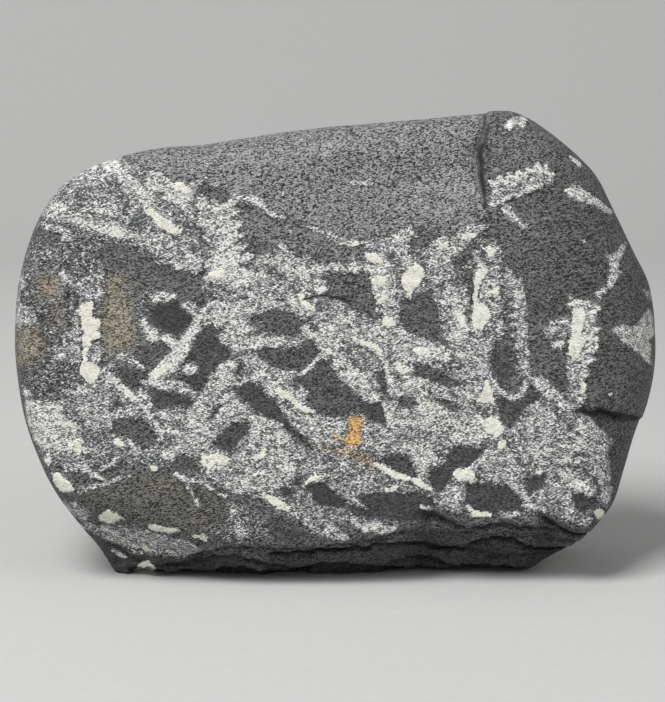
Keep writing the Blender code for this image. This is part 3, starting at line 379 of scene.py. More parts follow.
# Places where the film is gone: (how dark, from plain shale to carbon, outline)
BARE_PATCHES = [
    (1.00, [(15.0, 31.2), (16.0, 30.6), (17.2, 30.3), (18.0, 30.2), (18.1, 30.9), (18.6, 31.5), (19.4, 31.7),
            (19.0, 32.4), (18.6, 33.0), (18.0, 33.6), (17.2, 33.4), (16.2, 33.2), (15.7, 32.4),
            (15.0, 32.0)]),
    (0.75, [(19.6, 30.3), (20.4, 30.2), (20.7, 30.4), (20.3, 31.2), (19.8, 30.9)]),
    (0.70, [(20.4, 32.6), (21.4, 32.7), (22.4, 32.9), (21.6, 33.6), (22.0, 34.4), (22.8, 34.8), (23.2, 35.4),
            (23.0, 36.0), (22.2, 36.4), (21.6, 37.0), (20.8, 37.8), (20.6, 38.6), (20.0, 39.2), (19.4, 39.2),
            (18.6, 38.6), (18.0, 38.2), (18.0, 37.6), (19.0, 37.6), (19.8, 37.5), (20.0, 36.9), (19.4, 36.2),
            (18.8, 36.0), (19.0, 35.2), (19.4, 34.6), (19.6, 33.6)]),
    (0.80, [(24.2, 36.0), (24.4, 36.8), (24.0, 37.4), (23.6, 37.6), (23.8, 36.6)]),
    (0.25, [(25.2, 31.8), (26.6, 31.2), (27.6, 30.8), (28.6, 31.2), (29.8, 31.8), (31.2, 32.3), (31.4, 32.8),
            (30.2, 33.1), (29.6, 33.6), (28.6, 33.6), (27.0, 33.3), (25.8, 33.2), (25.4, 32.6)]),
    (0.40, [(25.4, 35.0), (26.6, 35.0), (28.0, 34.9), (29.8, 35.0), (30.4, 34.4), (30.2, 33.8), (31.2, 33.4),
            (31.5, 34.2), (31.9, 35.0), (31.6, 35.8), (31.0, 36.4), (30.2, 37.0), (29.0, 37.2), (27.6, 36.9),
            (26.6, 36.2), (25.8, 35.6)]),
    (0.35, [(29.2, 38.2), (30.4, 37.4), (31.4, 36.8), (32.3, 35.9), (33.2, 36.8), (34.2, 37.6), (34.8, 38.2),
            (35.4, 39.0), (36.2, 39.7), (36.6, 41.4), (35.6, 41.2), (34.6, 41.6), (33.4, 41.8), (31.6, 41.4),
            (31.4, 40.8), (30.4, 40.0), (30.8, 39.2), (30.2, 38.6), (29.6, 38.9)]),
    (0.75, [(35.8, 40.2), (37.0, 40.3), (38.0, 40.2), (38.4, 40.8), (38.6, 41.6), (38.8, 42.6), (37.4, 42.2),
            (36.4, 41.6)]),
    (0.70, [(23.2, 38.7), (24.2, 38.6), (25.2, 38.2), (25.8, 38.6), (26.6, 39.5), (27.4, 40.2), (28.2, 41.0),
            (28.6, 41.8), (29.4, 42.8), (30.0, 43.4), (30.8, 44.0), (31.4, 45.0), (30.4, 44.6), (29.4, 43.6),
            (28.4, 43.0), (27.4, 42.4), (26.2, 41.6), (25.4, 41.0), (24.4, 40.2), (23.4, 39.4)]),
    (0.75, [(20.9, 41.8), (21.4, 40.8), (22.0, 40.4), (22.4, 40.4), (21.8, 41.2), (21.2, 41.9)]),
    (0.60, [(23.4, 42.3), (24.8, 42.2), (25.1, 42.9), (24.3, 43.8), (23.4, 44.9), (22.8, 45.2), (22.0, 44.8),
            (21.3, 44.4), (21.6, 43.6), (22.6, 43.0)]),
    (0.70, [(15.0, 39.0), (16.0, 38.8), (17.4, 39.0), (18.2, 39.4), (18.8, 39.9), (19.4, 40.2), (19.0, 40.9),
            (18.0, 40.6), (16.6, 40.7), (15.6, 40.9), (15.2, 40.3)]),
    (0.80, [(11.2, 40.3), (11.8, 39.9), (12.4, 40.3), (12.2, 40.7), (11.4, 40.7)]),
    (0.25, [(11.2, 42.0), (12.6, 41.7), (14.2, 42.0), (15.0, 42.6), (15.8, 43.6), (15.4, 44.6), (14.4, 44.8),
            (13.0, 44.2), (12.0, 43.4), (11.2, 43.4)]),
    (0.55, [(11.8, 36.8), (14.8, 37.2), (14.6, 38.2), (13.4, 39.0), (12.2, 37.8)]),
    (0.30, [(13.6, 34.8), (15.2, 34.4), (16.8, 35.1), (15.6, 36.2), (15.0, 36.8), (13.4, 36.2)]),
    (0.30, [(10.4, 24.6), (14.2, 25.4), (17.0, 26.8), (19.4, 27.6), (18.6, 28.4), (17.6, 29.0), (15.0, 28.8),
            (13.4, 30.2), (12.8, 27.4), (10.4, 26.8)]),
    (0.45, [(17.0, 46.4), (18.2, 45.6), (18.4, 45.2), (18.8, 45.8), (19.4, 46.0), (20.0, 46.6), (20.0, 47.2),
            (19.0, 47.0), (18.0, 47.2), (17.2, 46.9)]),
    (0.95, [(28.0, 49.0), (28.6, 48.6), (29.3, 48.8), (29.1, 49.6), (28.4, 49.8)]),
    (0.95, [(29.3, 48.0), (30.1, 47.9), (30.0, 48.6), (29.4, 48.6)]),
    (1.00, [(30.6, 48.4), (32.4, 48.2), (33.0, 48.8), (33.6, 49.4), (34.6, 50.0), (34.8, 50.8), (33.4, 50.8),
            (32.2, 50.6), (31.4, 50.2), (31.2, 49.4), (30.6, 48.9)]),
    (0.60, [(27.0, 51.6), (28.4, 51.8), (29.6, 52.6), (30.6, 53.4), (31.4, 54.2), (29.6, 54.3), (27.4, 54.2),
            (26.8, 53.0)]),
    (0.85, [(34.8, 50.8), (35.6, 49.9), (37.2, 49.4), (38.6, 49.2), (40.2, 49.4), (42.0, 49.2), (43.2, 50.0),
            (43.6, 50.6), (42.6, 51.2), (44.4, 51.6), (42.6, 52.0), (40.4, 52.2), (38.6, 51.9), (36.8, 51.9),
            (35.4, 51.6)]),
    (0.05, [(31.4, 27.5), (33.0, 27.2), (35.4, 27.4), (36.8, 27.3), (37.0, 28.4), (37.4, 29.8), (37.8, 30.6),
            (37.2, 31.6), (36.0, 31.2), (34.8, 30.6), (34.2, 30.0), (33.2, 29.6), (32.4, 29.6), (32.9, 28.8),
            (32.4, 28.0)]),
    (0.25, [(40.2, 30.0), (41.2, 29.6), (42.4, 29.2), (43.2, 28.9), (43.4, 29.9), (43.6, 30.8), (43.9, 32.0),
            (44.2, 33.2), (44.4, 34.3), (43.2, 33.9), (42.0, 33.5), (41.0, 33.2), (40.4, 32.8),
            (40.0, 31.6)]),
    (0.25, [(45.4, 26.4), (46.2, 25.4), (47.0, 24.8), (47.8, 24.3), (48.2, 24.6), (47.4, 25.4), (46.8, 26.0),
            (46.2, 26.6), (45.4, 26.9)]),
    (0.40, [(41.2, 23.7), (41.8, 23.8), (41.9, 24.5), (41.2, 24.7), (40.9, 24.2)]),
    (0.30, [(46.6, 27.0), (47.4, 26.8), (47.3, 27.8), (46.9, 28.8), (46.4, 28.2)]),
    (0.40, [(37.6, 37.2), (38.4, 37.0), (38.8, 37.8), (38.9, 39.0), (38.4, 39.2), (37.9, 38.6)]),
    (0.45, [(41.4, 36.6), (42.6, 36.5), (43.2, 37.2), (44.4, 37.4), (45.4, 37.9), (45.2, 38.6), (44.4, 38.6),
            (43.4, 38.2), (42.2, 37.8), (41.4, 37.4)]),
    (0.30, [(39.8, 39.9), (41.2, 39.8), (41.8, 40.4), (41.1, 41.0), (40.0, 40.8)]),
    (0.25, [(43.4, 39.8), (45.2, 40.2), (46.0, 41.2), (44.8, 41.0)]),
    (0.75, [(45.2, 44.9), (46.2, 44.6), (47.6, 44.8), (48.5, 44.7), (48.4, 45.6), (47.8, 46.2), (47.2, 46.8),
            (46.0, 46.8), (44.8, 47.0), (44.0, 46.8), (44.6, 46.2)]),
    (0.70, [(37.6, 46.2), (38.6, 45.6), (40.8, 45.5), (41.0, 46.4), (41.5, 47.2), (41.4, 47.8), (40.6, 47.6),
            (39.4, 46.9), (38.4, 46.4)]),
    (0.85, [(43.0, 47.0), (44.2, 46.9), (45.4, 46.9), (45.2, 47.8), (44.4, 48.8), (43.8, 49.2), (43.2, 48.6),
            (42.8, 47.8)]),
    (0.80, [(46.8, 48.2), (48.2, 48.4), (50.0, 48.6), (51.0, 48.6), (51.8, 49.2), (52.6, 50.0), (53.2, 50.6),
            (52.4, 51.2), (50.6, 51.2), (48.8, 51.6), (47.8, 51.0), (46.4, 50.4), (46.6, 49.4)]),
    (0.40, [(51.6, 45.8), (52.2, 45.6), (52.8, 46.7), (52.2, 46.8)]),
    (0.75, [(52.4, 48.0), (53.4, 47.7), (54.6, 47.6), (54.4, 48.2), (53.8, 48.9), (53.0, 49.4),
            (52.6, 48.8)]),
    (0.60, [(49.6, 34.4), (51.0, 34.6), (51.2, 36.0), (51.4, 37.4), (51.2, 38.4), (50.6, 38.8), (50.0, 38.6),
            (49.6, 37.8), (49.2, 37.0), (49.0, 35.6)]),
    (0.60, [(49.4, 39.6), (50.4, 39.8), (51.2, 40.2), (52.2, 40.0), (52.8, 39.4), (53.4, 38.8), (54.2, 39.4),
            (53.4, 40.2), (52.6, 40.6), (52.2, 41.4), (51.6, 42.2), (51.0, 43.0), (50.6, 42.6),
            (50.0, 41.8)]),
    (0.90, [(57.2, 49.3), (57.9, 49.3), (58.6, 49.9), (59.4, 49.6), (59.8, 50.2), (59.4, 51.0), (58.8, 51.0),
            (58.2, 51.4), (57.8, 51.0), (57.4, 50.0)]),
    (0.40, [(52.6, 29.6), (54.2, 29.6), (54.6, 31.0), (54.0, 31.6), (52.9, 31.4)]),
]

# White films that lie over the dark places, two of them painted highlight along the top rim: (how whole,
# outline)
WHITE_PATCHES = [
    # painted highlight along the worn top-left rim
    (0.66, [(6.4, 18.2), (7.5, 17.3), (9.0, 16.6), (10.8, 16.0), (12.2, 15.5), (12.0, 16.3), (10.4, 17.0),
            (9.4, 17.1), (8.4, 17.8), (7.0, 18.2)]),
    (0.84, [(10.0, 16.6), (11.0, 16.0), (11.9, 16.2), (12.4, 17.2), (13.6, 17.8), (14.3, 18.6), (15.0, 19.3),
            (15.4, 20.4), (14.6, 20.9), (14.1, 20.2), (13.2, 19.2), (12.2, 18.4), (11.4, 17.5),
            (10.3, 17.1)]),
    (0.88, [(7.0, 22.2), (7.8, 21.8), (8.6, 22.2), (9.6, 22.5), (10.6, 22.6), (11.2, 22.5), (12.0, 22.4),
            (12.5, 22.9), (12.6, 23.8), (11.6, 23.7), (10.2, 23.2), (8.8, 22.9), (7.6, 22.6)]),
    (0.66, [(19.7, 19.6), (20.2, 19.3), (20.8, 19.9), (21.4, 19.8), (22.0, 20.3), (23.0, 20.0), (24.2, 19.9),
            (22.8, 20.6), (23.8, 21.1), (22.8, 21.6), (24.1, 22.2), (22.7, 22.7), (24.2, 23.3), (22.9, 23.9),
            (24.5, 24.5), (23.3, 25.2), (24.9, 25.7), (23.7, 26.2), (23.0, 26.6), (22.0, 27.4), (20.8, 27.4),
            (20.2, 26.8), (20.6, 25.6), (21.4, 24.8), (20.2, 23.8), (20.6, 23.0), (19.8, 22.4), (20.0, 21.2),
            (19.4, 20.4)]),
    (0.90, [(22.6, 19.7), (24.0, 19.9), (24.8, 19.6), (25.1, 18.9), (25.4, 19.5), (26.2, 20.1), (26.7, 20.5),
            (26.5, 20.8), (27.4, 21.2), (28.4, 21.7), (28.2, 21.9), (27.0, 21.4), (25.9, 20.7),
            (24.8, 20.3)]),
    (0.86, [(20.2, 27.8), (21.0, 27.0), (21.8, 26.6), (22.8, 26.8), (23.4, 26.4), (24.4, 26.8), (25.6, 27.0),
            (26.0, 27.8), (25.6, 28.6), (24.6, 28.5), (23.6, 28.8), (22.6, 28.4), (21.6, 28.2),
            (20.6, 28.2)]),
    (0.78, [(22.4, 30.0), (23.0, 29.4), (23.9, 29.0), (23.6, 29.8), (22.8, 30.2)]),
    (0.78, [(5.8, 27.1), (6.6, 27.0), (7.0, 27.6), (6.8, 28.4), (6.4, 28.6), (6.0, 27.8)]),
    (0.76, [(9.4, 27.6), (10.4, 27.3), (10.3, 27.8), (9.9, 28.2), (10.6, 28.5), (10.2, 29.0), (10.4, 29.4),
            (10.0, 29.8), (9.5, 29.8), (9.7, 28.8)]),
    (0.80, [(5.2, 34.6), (5.8, 34.5), (6.4, 35.0), (6.8, 36.4), (6.4, 36.2), (5.9, 36.0), (5.4, 35.9)]),
    (0.82, [(15.0, 29.7), (15.6, 29.1), (16.4, 29.0), (17.0, 29.3), (17.7, 29.5), (17.7, 29.9), (16.8, 30.2),
            (16.0, 30.4), (15.4, 30.3)]),
    (0.86, [(13.8, 31.9), (14.5, 31.6), (14.9, 32.3), (15.4, 32.8), (15.8, 33.4), (15.6, 33.9), (15.0, 34.3),
            (14.6, 33.8), (14.3, 33.0), (14.1, 32.4)]),
    (0.92, [(20.8, 30.2), (21.4, 30.3), (20.6, 31.4), (20.0, 32.2), (19.7, 33.2), (19.2, 34.0), (19.0, 35.0),
            (18.7, 35.8), (18.0, 36.2), (17.6, 36.8), (17.9, 37.2), (17.0, 37.4), (16.4, 37.8), (16.2, 38.4),
            (15.3, 38.5), (15.0, 38.0), (14.9, 37.4), (15.8, 36.4), (16.8, 35.4), (17.6, 34.6), (18.4, 33.4),
            (19.0, 32.6), (19.6, 31.6), (20.2, 31.0)]),
    (0.84, [(18.1, 36.9), (18.7, 36.3), (19.4, 36.2), (19.8, 36.7), (19.7, 37.3), (19.0, 37.5),
            (18.3, 37.4)]),
    (0.80, [(23.9, 35.6), (23.6, 36.8), (23.0, 38.0), (22.4, 39.0), (21.8, 39.4), (20.2, 39.3), (21.4, 38.7),
            (20.6, 38.2), (21.8, 37.9), (20.8, 37.5), (22.0, 37.2), (21.5, 36.8), (22.4, 36.4),
            (22.8, 36.0)]),
    (0.96, [(23.0, 32.2), (23.8, 32.0), (24.2, 32.8), (23.8, 33.4), (23.2, 33.0)]),
    (0.76, [(22.6, 33.8), (24.0, 33.6), (25.6, 33.5), (27.2, 33.6), (28.6, 34.0), (29.9, 34.6), (29.8, 34.8),
            (28.0, 34.7), (26.4, 34.8), (25.0, 34.9), (24.0, 35.2), (23.2, 34.6)]),
    (0.85, [(31.2, 28.4), (31.8, 27.8), (32.4, 28.2), (32.8, 28.7), (32.5, 29.3), (31.8, 29.4),
            (31.3, 29.0)]),
    (0.78, [(30.0, 32.6), (30.8, 32.6), (31.0, 33.2), (31.6, 33.0), (32.4, 32.2), (33.4, 32.2), (33.8, 33.4),
            (34.4, 34.2), (33.8, 35.0), (33.2, 35.8), (32.2, 35.4), (31.6, 34.6), (31.2, 33.7),
            (30.6, 33.8)]),
    (0.80, [(33.6, 37.2), (34.6, 36.8), (34.8, 36.2), (35.6, 36.6), (36.2, 37.2), (37.2, 37.2), (37.4, 37.8),
            (36.8, 38.2), (37.2, 38.8), (37.8, 39.6), (38.2, 40.0), (37.4, 40.3), (36.4, 39.8), (35.6, 39.2),
            (34.8, 38.4), (34.0, 37.8)]),
    (0.82, [(29.9, 38.9), (30.3, 38.6), (30.8, 39.6), (30.3, 40.0), (29.5, 39.5)]),
    (0.84, [(16.0, 45.4), (17.0, 44.8), (17.8, 44.6), (18.0, 45.2), (17.4, 45.9), (16.6, 46.0)]),
    (0.86, [(15.4, 42.4), (16.3, 42.5), (16.3, 43.3), (15.8, 43.2)]),
    (0.84, [(4.3, 45.4), (5.0, 45.4), (5.2, 46.2), (4.8, 46.6), (4.4, 46.2)]),
    (0.84, [(8.6, 46.9), (9.2, 47.0), (9.5, 47.5), (10.0, 47.7), (9.2, 47.7), (8.8, 47.4)]),
    (0.76, [(40.8, 44.6), (42.2, 44.4), (43.4, 45.2), (44.0, 46.2), (43.8, 46.7), (42.8, 46.8), (42.6, 47.4),
            (41.8, 47.5), (41.4, 46.4), (41.0, 45.4)]),
    (0.75, [(45.3, 37.7), (46.6, 37.2), (48.4, 37.0), (49.3, 37.3), (48.2, 37.8), (46.4, 38.0)]),
    (0.66, [(48.4, 24.4), (49.2, 24.2), (49.9, 24.6), (50.0, 25.4), (49.6, 25.9), (48.9, 25.8),
            (48.3, 25.2)]),
    # the toothed column on the right
    (0.56, [(56.9, 30.6), (57.6, 30.1), (59.6, 30.1), (60.0, 30.0), (59.8, 31.4), (59.5, 32.5), (60.0, 32.9),
            (59.3, 33.3), (59.9, 33.9), (59.2, 34.3), (59.7, 34.9), (59.0, 35.4), (59.4, 36.0), (58.8, 36.5),
            (58.9, 37.4), (58.5, 38.2), (58.7, 39.4), (58.4, 40.4), (57.6, 40.9), (56.9, 40.2), (56.6, 39.6),
            (56.8, 38.2), (56.7, 37.0), (56.6, 35.6), (56.8, 34.4), (56.8, 33.0), (57.2, 31.6),
            (57.0, 31.0)]),
    (0.84, [(54.8, 33.9), (55.6, 34.2), (56.2, 34.0), (56.6, 34.2), (56.2, 34.9), (55.4, 34.8)]),
    (0.78, [(62.0, 24.6), (62.6, 24.2), (62.7, 24.5), (62.2, 25.4), (62.0, 26.2), (61.8, 27.0), (62.2, 27.2),
            (61.8, 27.8), (61.3, 28.6), (60.4, 29.4), (60.1, 30.0), (59.8, 29.6), (59.4, 29.0), (60.0, 29.0),
            (60.8, 28.4), (61.0, 27.4), (61.0, 26.4), (60.7, 25.4), (61.3, 25.7), (61.6, 25.0)]),
    (0.82, [(52.9, 37.8), (54.2, 37.6), (55.2, 38.4), (56.0, 39.2), (56.6, 40.0), (57.6, 40.9), (57.0, 41.2),
            (55.8, 40.6), (54.6, 39.8), (53.6, 38.8)]),
    (1.00, [(61.3, 33.0), (61.7, 32.6), (62.4, 32.5), (62.5, 33.1), (61.9, 33.4)]),
    (0.74, [(50.2, 20.6), (51.0, 20.4), (51.3, 21.0), (51.8, 21.8), (52.2, 22.2), (52.9, 22.4), (52.9, 22.8),
            (52.2, 22.9), (51.6, 22.5), (50.8, 21.8), (50.3, 21.3)]),
    # painted highlight along the worn top rim
    (0.80, [(49.9, 13.0), (50.6, 12.2), (51.2, 11.6), (52.0, 11.6), (52.8, 11.7), (52.6, 12.2), (52.2, 12.8),
            (51.6, 12.4), (51.0, 13.0), (50.4, 12.7)]),
    (0.98, [(56.9, 15.6), (57.6, 15.8), (58.2, 16.5), (57.8, 16.7), (57.2, 16.3)]),
    (0.78, [(56.5, 19.2), (57.2, 18.5), (58.0, 18.7), (58.8, 19.3), (59.8, 20.0), (60.6, 20.6), (61.4, 21.2),
            (61.0, 21.4), (60.0, 20.9), (58.8, 20.4), (57.8, 20.0), (57.0, 19.8)]),
    (0.78, [(55.4, 47.0), (56.2, 46.7), (57.4, 47.1), (58.4, 47.8), (59.2, 48.6), (59.4, 49.4), (58.8, 49.8),
            (58.4, 49.2), (57.8, 49.0), (57.0, 49.0), (56.6, 48.4), (56.0, 47.8)]),
    (0.62, [(55.8, 49.4), (56.4, 49.0), (57.2, 49.8), (57.5, 50.8), (57.8, 51.6), (57.4, 52.2), (56.6, 51.8),
            (55.9, 50.8), (55.6, 50.0)]),
    (0.70, [(59.9, 49.6), (60.4, 48.7), (61.2, 48.6), (61.0, 49.8), (60.8, 50.8), (60.2, 50.4)]),
    (0.80, [(50.0, 51.2), (51.8, 51.1), (52.6, 51.3), (51.6, 51.5), (51.2, 51.9), (50.4, 51.9)]),
    (0.78, [(35.8, 52.7), (36.8, 52.2), (38.0, 52.2), (38.8, 52.6), (39.8, 52.6), (39.9, 53.0), (38.8, 53.4),
            (38.0, 53.5), (37.2, 53.1), (36.4, 53.2)]),
]

# Cream-white flakes, the thickest film: (how whole, outline)
CREAM_PATCHES = [
    (0.36, [(3.0, 40.6), (5.4, 40.6), (7.4, 42.2), (8.3, 44.2), (7.8, 45.3), (5.0, 45.0), (3.6, 43.8)]),
    (0.20, [(20.4, 46.0), (24.0, 45.4), (27.0, 44.2), (29.4, 45.0), (29.6, 47.6), (27.0, 49.0),
            (22.4, 48.6)]),
    (0.32, [(11.0, 54.0), (15.0, 54.4), (18.6, 55.0), (17.0, 55.8), (13.0, 55.4)]),
    (0.95, [(14.5, 20.7), (15.3, 20.8), (15.8, 21.5), (16.6, 21.8), (17.4, 22.5), (18.3, 23.0), (18.1, 23.4),
            (17.2, 23.5), (16.2, 22.9), (15.3, 21.9), (14.7, 21.3)]),
    (0.72, [(17.3, 18.5), (18.3, 18.2), (19.3, 18.9), (18.8, 19.4), (17.6, 19.2)]),
    (0.95, [(11.0, 22.7), (11.8, 22.6), (12.4, 23.9), (11.8, 23.9), (11.2, 23.4)]),
    (0.95, [(7.5, 31.1), (8.2, 30.3), (9.3, 30.2), (9.4, 30.8), (9.2, 31.6), (10.1, 32.0), (10.3, 32.6),
            (9.7, 33.0), (10.2, 33.4), (9.8, 33.9), (9.0, 34.1), (9.1, 34.6), (8.3, 34.8), (8.2, 33.8),
            (8.5, 33.2), (8.2, 32.5), (8.3, 31.9)]),
    (0.95, [(8.0, 36.8), (8.3, 36.0), (9.2, 36.1), (9.9, 36.6), (10.0, 37.3), (9.6, 37.8), (9.3, 38.4),
            (8.8, 38.5), (8.5, 37.9), (8.1, 37.4)]),
    (0.80, [(15.2, 37.2), (16.6, 36.3), (17.3, 36.4), (17.2, 36.8), (15.6, 38.0)]),
    (0.80, [(12.1, 38.8), (12.8, 38.9), (13.8, 40.0), (12.5, 39.5)]),
    (0.80, [(14.8, 46.6), (15.4, 46.4), (15.9, 46.8), (15.6, 47.2), (15.0, 47.1)]),
    (0.85, [(11.4, 43.8), (12.0, 43.8), (12.4, 44.4), (12.6, 44.8), (11.8, 44.7), (11.4, 44.5)]),
    (0.80, [(5.2, 42.0), (6.4, 42.0), (7.4, 42.2), (7.8, 42.7), (6.6, 42.7), (5.4, 42.4)]),
    (0.90, [(7.4, 44.2), (8.0, 44.0), (8.3, 44.8), (8.0, 45.5), (7.5, 45.2)]),
    (0.90, [(5.2, 47.3), (5.9, 47.3), (6.6, 47.8), (7.2, 48.4), (7.6, 49.1), (6.8, 49.3), (5.9, 49.0),
            (5.4, 48.4)]),
    (0.78, [(9.8, 51.6), (10.8, 51.0), (11.6, 51.2), (12.4, 51.9), (11.6, 52.2), (10.8, 52.5), (10.0, 52.1)]),
    (0.90, [(14.8, 52.4), (16.0, 52.6), (17.4, 52.9), (18.2, 53.1), (17.0, 53.4), (15.8, 53.2),
            (15.0, 52.9)]),
    (0.62, [(19.0, 53.4), (20.2, 53.3), (21.0, 53.7), (20.6, 54.2), (19.8, 54.1)]),
    (0.90, [(14.2, 54.8), (14.8, 54.5), (15.1, 55.0), (14.6, 55.2)]),
    (1.00, [(13.6, 57.0), (13.9, 56.4), (14.8, 56.0), (15.3, 56.4), (15.6, 56.9), (14.8, 57.3),
            (13.8, 57.2)]),
    (0.75, [(20.4, 27.8), (21.0, 27.2), (21.8, 26.8), (22.5, 26.9), (22.4, 27.8), (21.2, 28.0)]),
    (0.88, [(29.6, 29.3), (30.3, 29.2), (30.7, 30.1), (31.4, 30.6), (31.6, 31.3), (30.8, 31.0),
            (30.0, 30.5)]),
    (0.92, [(27.4, 38.9), (28.4, 39.0), (29.4, 39.4), (29.8, 40.2), (30.6, 40.7), (31.5, 41.1), (31.2, 41.4),
            (30.2, 41.1), (29.6, 40.7), (29.0, 40.2), (28.2, 39.8), (27.6, 39.4)]),
    (0.64, [(20.0, 45.6), (21.0, 45.2), (22.2, 45.4), (23.0, 45.9), (23.0, 46.4), (22.0, 46.5), (21.4, 47.0),
            (20.6, 46.8), (20.1, 46.3)]),
    (0.85, [(25.0, 45.9), (26.0, 45.2), (26.7, 44.8), (26.4, 45.6), (25.6, 46.1)]),
    (0.85, [(43.8, 24.8), (44.2, 24.3), (45.0, 24.2), (44.9, 24.8), (44.3, 24.9)]),
    (0.88, [(45.8, 23.9), (46.6, 23.3), (47.8, 23.3), (47.4, 23.9), (46.6, 24.0)]),
    (0.75, [(34.9, 24.2), (35.6, 24.1), (35.8, 24.6), (35.2, 24.6)]),
    (0.90, [(36.7, 25.4), (37.6, 25.3), (38.4, 26.2), (38.2, 26.6), (37.2, 26.2), (36.8, 25.9)]),
    (0.92, [(37.0, 27.8), (38.0, 27.6), (38.8, 27.9), (38.4, 28.5), (37.4, 28.5), (37.1, 28.2)]),
    (0.88, [(37.6, 30.2), (38.0, 29.6), (38.8, 29.5), (39.1, 30.1), (38.2, 30.4)]),
    (0.88, [(38.2, 31.9), (38.8, 31.5), (39.8, 32.4), (39.2, 32.7), (38.3, 32.6)]),
    (0.95, [(40.2, 28.6), (40.2, 27.8), (40.8, 26.9), (41.6, 26.4), (42.3, 26.6), (42.5, 27.6), (42.0, 28.4),
            (41.4, 29.0), (41.0, 29.8), (40.6, 29.2)]),
    (0.90, [(45.2, 31.0), (46.1, 31.2), (46.9, 32.7), (46.2, 32.7), (45.6, 31.9)]),
    (0.95, [(47.6, 27.0), (48.6, 26.6), (48.9, 27.2), (48.2, 28.0), (47.8, 29.0), (47.6, 30.2), (48.6, 30.4),
            (49.2, 31.6), (48.6, 32.4), (48.2, 33.0), (47.4, 32.9), (47.2, 31.8), (47.4, 30.8), (47.2, 29.8),
            (47.4, 28.4)]),
    (0.88, [(48.6, 29.3), (49.4, 28.7), (49.9, 29.0), (49.9, 29.5), (49.0, 29.6)]),
    (0.92, [(48.5, 25.0), (49.0, 24.7), (49.5, 25.0), (49.4, 25.6), (48.9, 25.6)]),
    (0.92, [(48.4, 38.2), (48.9, 38.0), (49.3, 39.2), (49.5, 40.0), (49.0, 40.4), (47.4, 40.2),
            (48.0, 39.6)]),
    (0.72, [(39.5, 36.4), (40.6, 36.3), (41.2, 37.2), (40.4, 37.6), (39.8, 37.2)]),
    (0.92, [(41.3, 34.8), (42.2, 34.5), (42.9, 34.9), (42.3, 35.6), (41.6, 35.5)]),
    (0.80, [(42.4, 40.1), (43.3, 40.2), (43.4, 40.9), (42.6, 40.9)]),
    (0.92, [(47.9, 42.2), (48.8, 41.8), (49.6, 41.8), (50.4, 42.6), (50.5, 43.2), (49.6, 43.8),
            (48.8, 43.2)]),
    (1.00, [(45.3, 47.3), (45.9, 46.8), (46.4, 47.1), (47.0, 46.8), (47.4, 47.2), (47.3, 47.9), (47.6, 48.4),
            (46.8, 48.1), (46.0, 48.1), (45.4, 47.6)]),
    (0.92, [(49.7, 44.2), (50.4, 44.0), (50.7, 44.5), (50.2, 44.9), (49.8, 44.8)]),
    (0.75, [(53.6, 46.9), (54.2, 46.8), (54.3, 47.4), (53.7, 47.5)]),
    (0.62, [(36.8, 52.6), (38.0, 52.3), (38.3, 52.8), (37.4, 53.0)]),
    (0.80, [(38.6, 49.0), (39.2, 48.6), (39.8, 48.7), (39.2, 49.3)]),
    (1.00, [(57.5, 30.9), (58.2, 30.8), (58.6, 31.6), (58.3, 32.6), (58.0, 33.6), (58.5, 34.0), (58.2, 34.8),
            (57.9, 35.6), (57.4, 36.2), (57.0, 35.6), (56.8, 34.6), (57.1, 33.2), (57.2, 32.0)]),
    (0.80, [(58.0, 38.3), (58.6, 38.4), (58.5, 39.6), (57.9, 39.5)]),
    (0.95, [(59.5, 51.2), (60.0, 50.8), (60.6, 51.1), (60.3, 51.8), (59.9, 52.0)]),
]
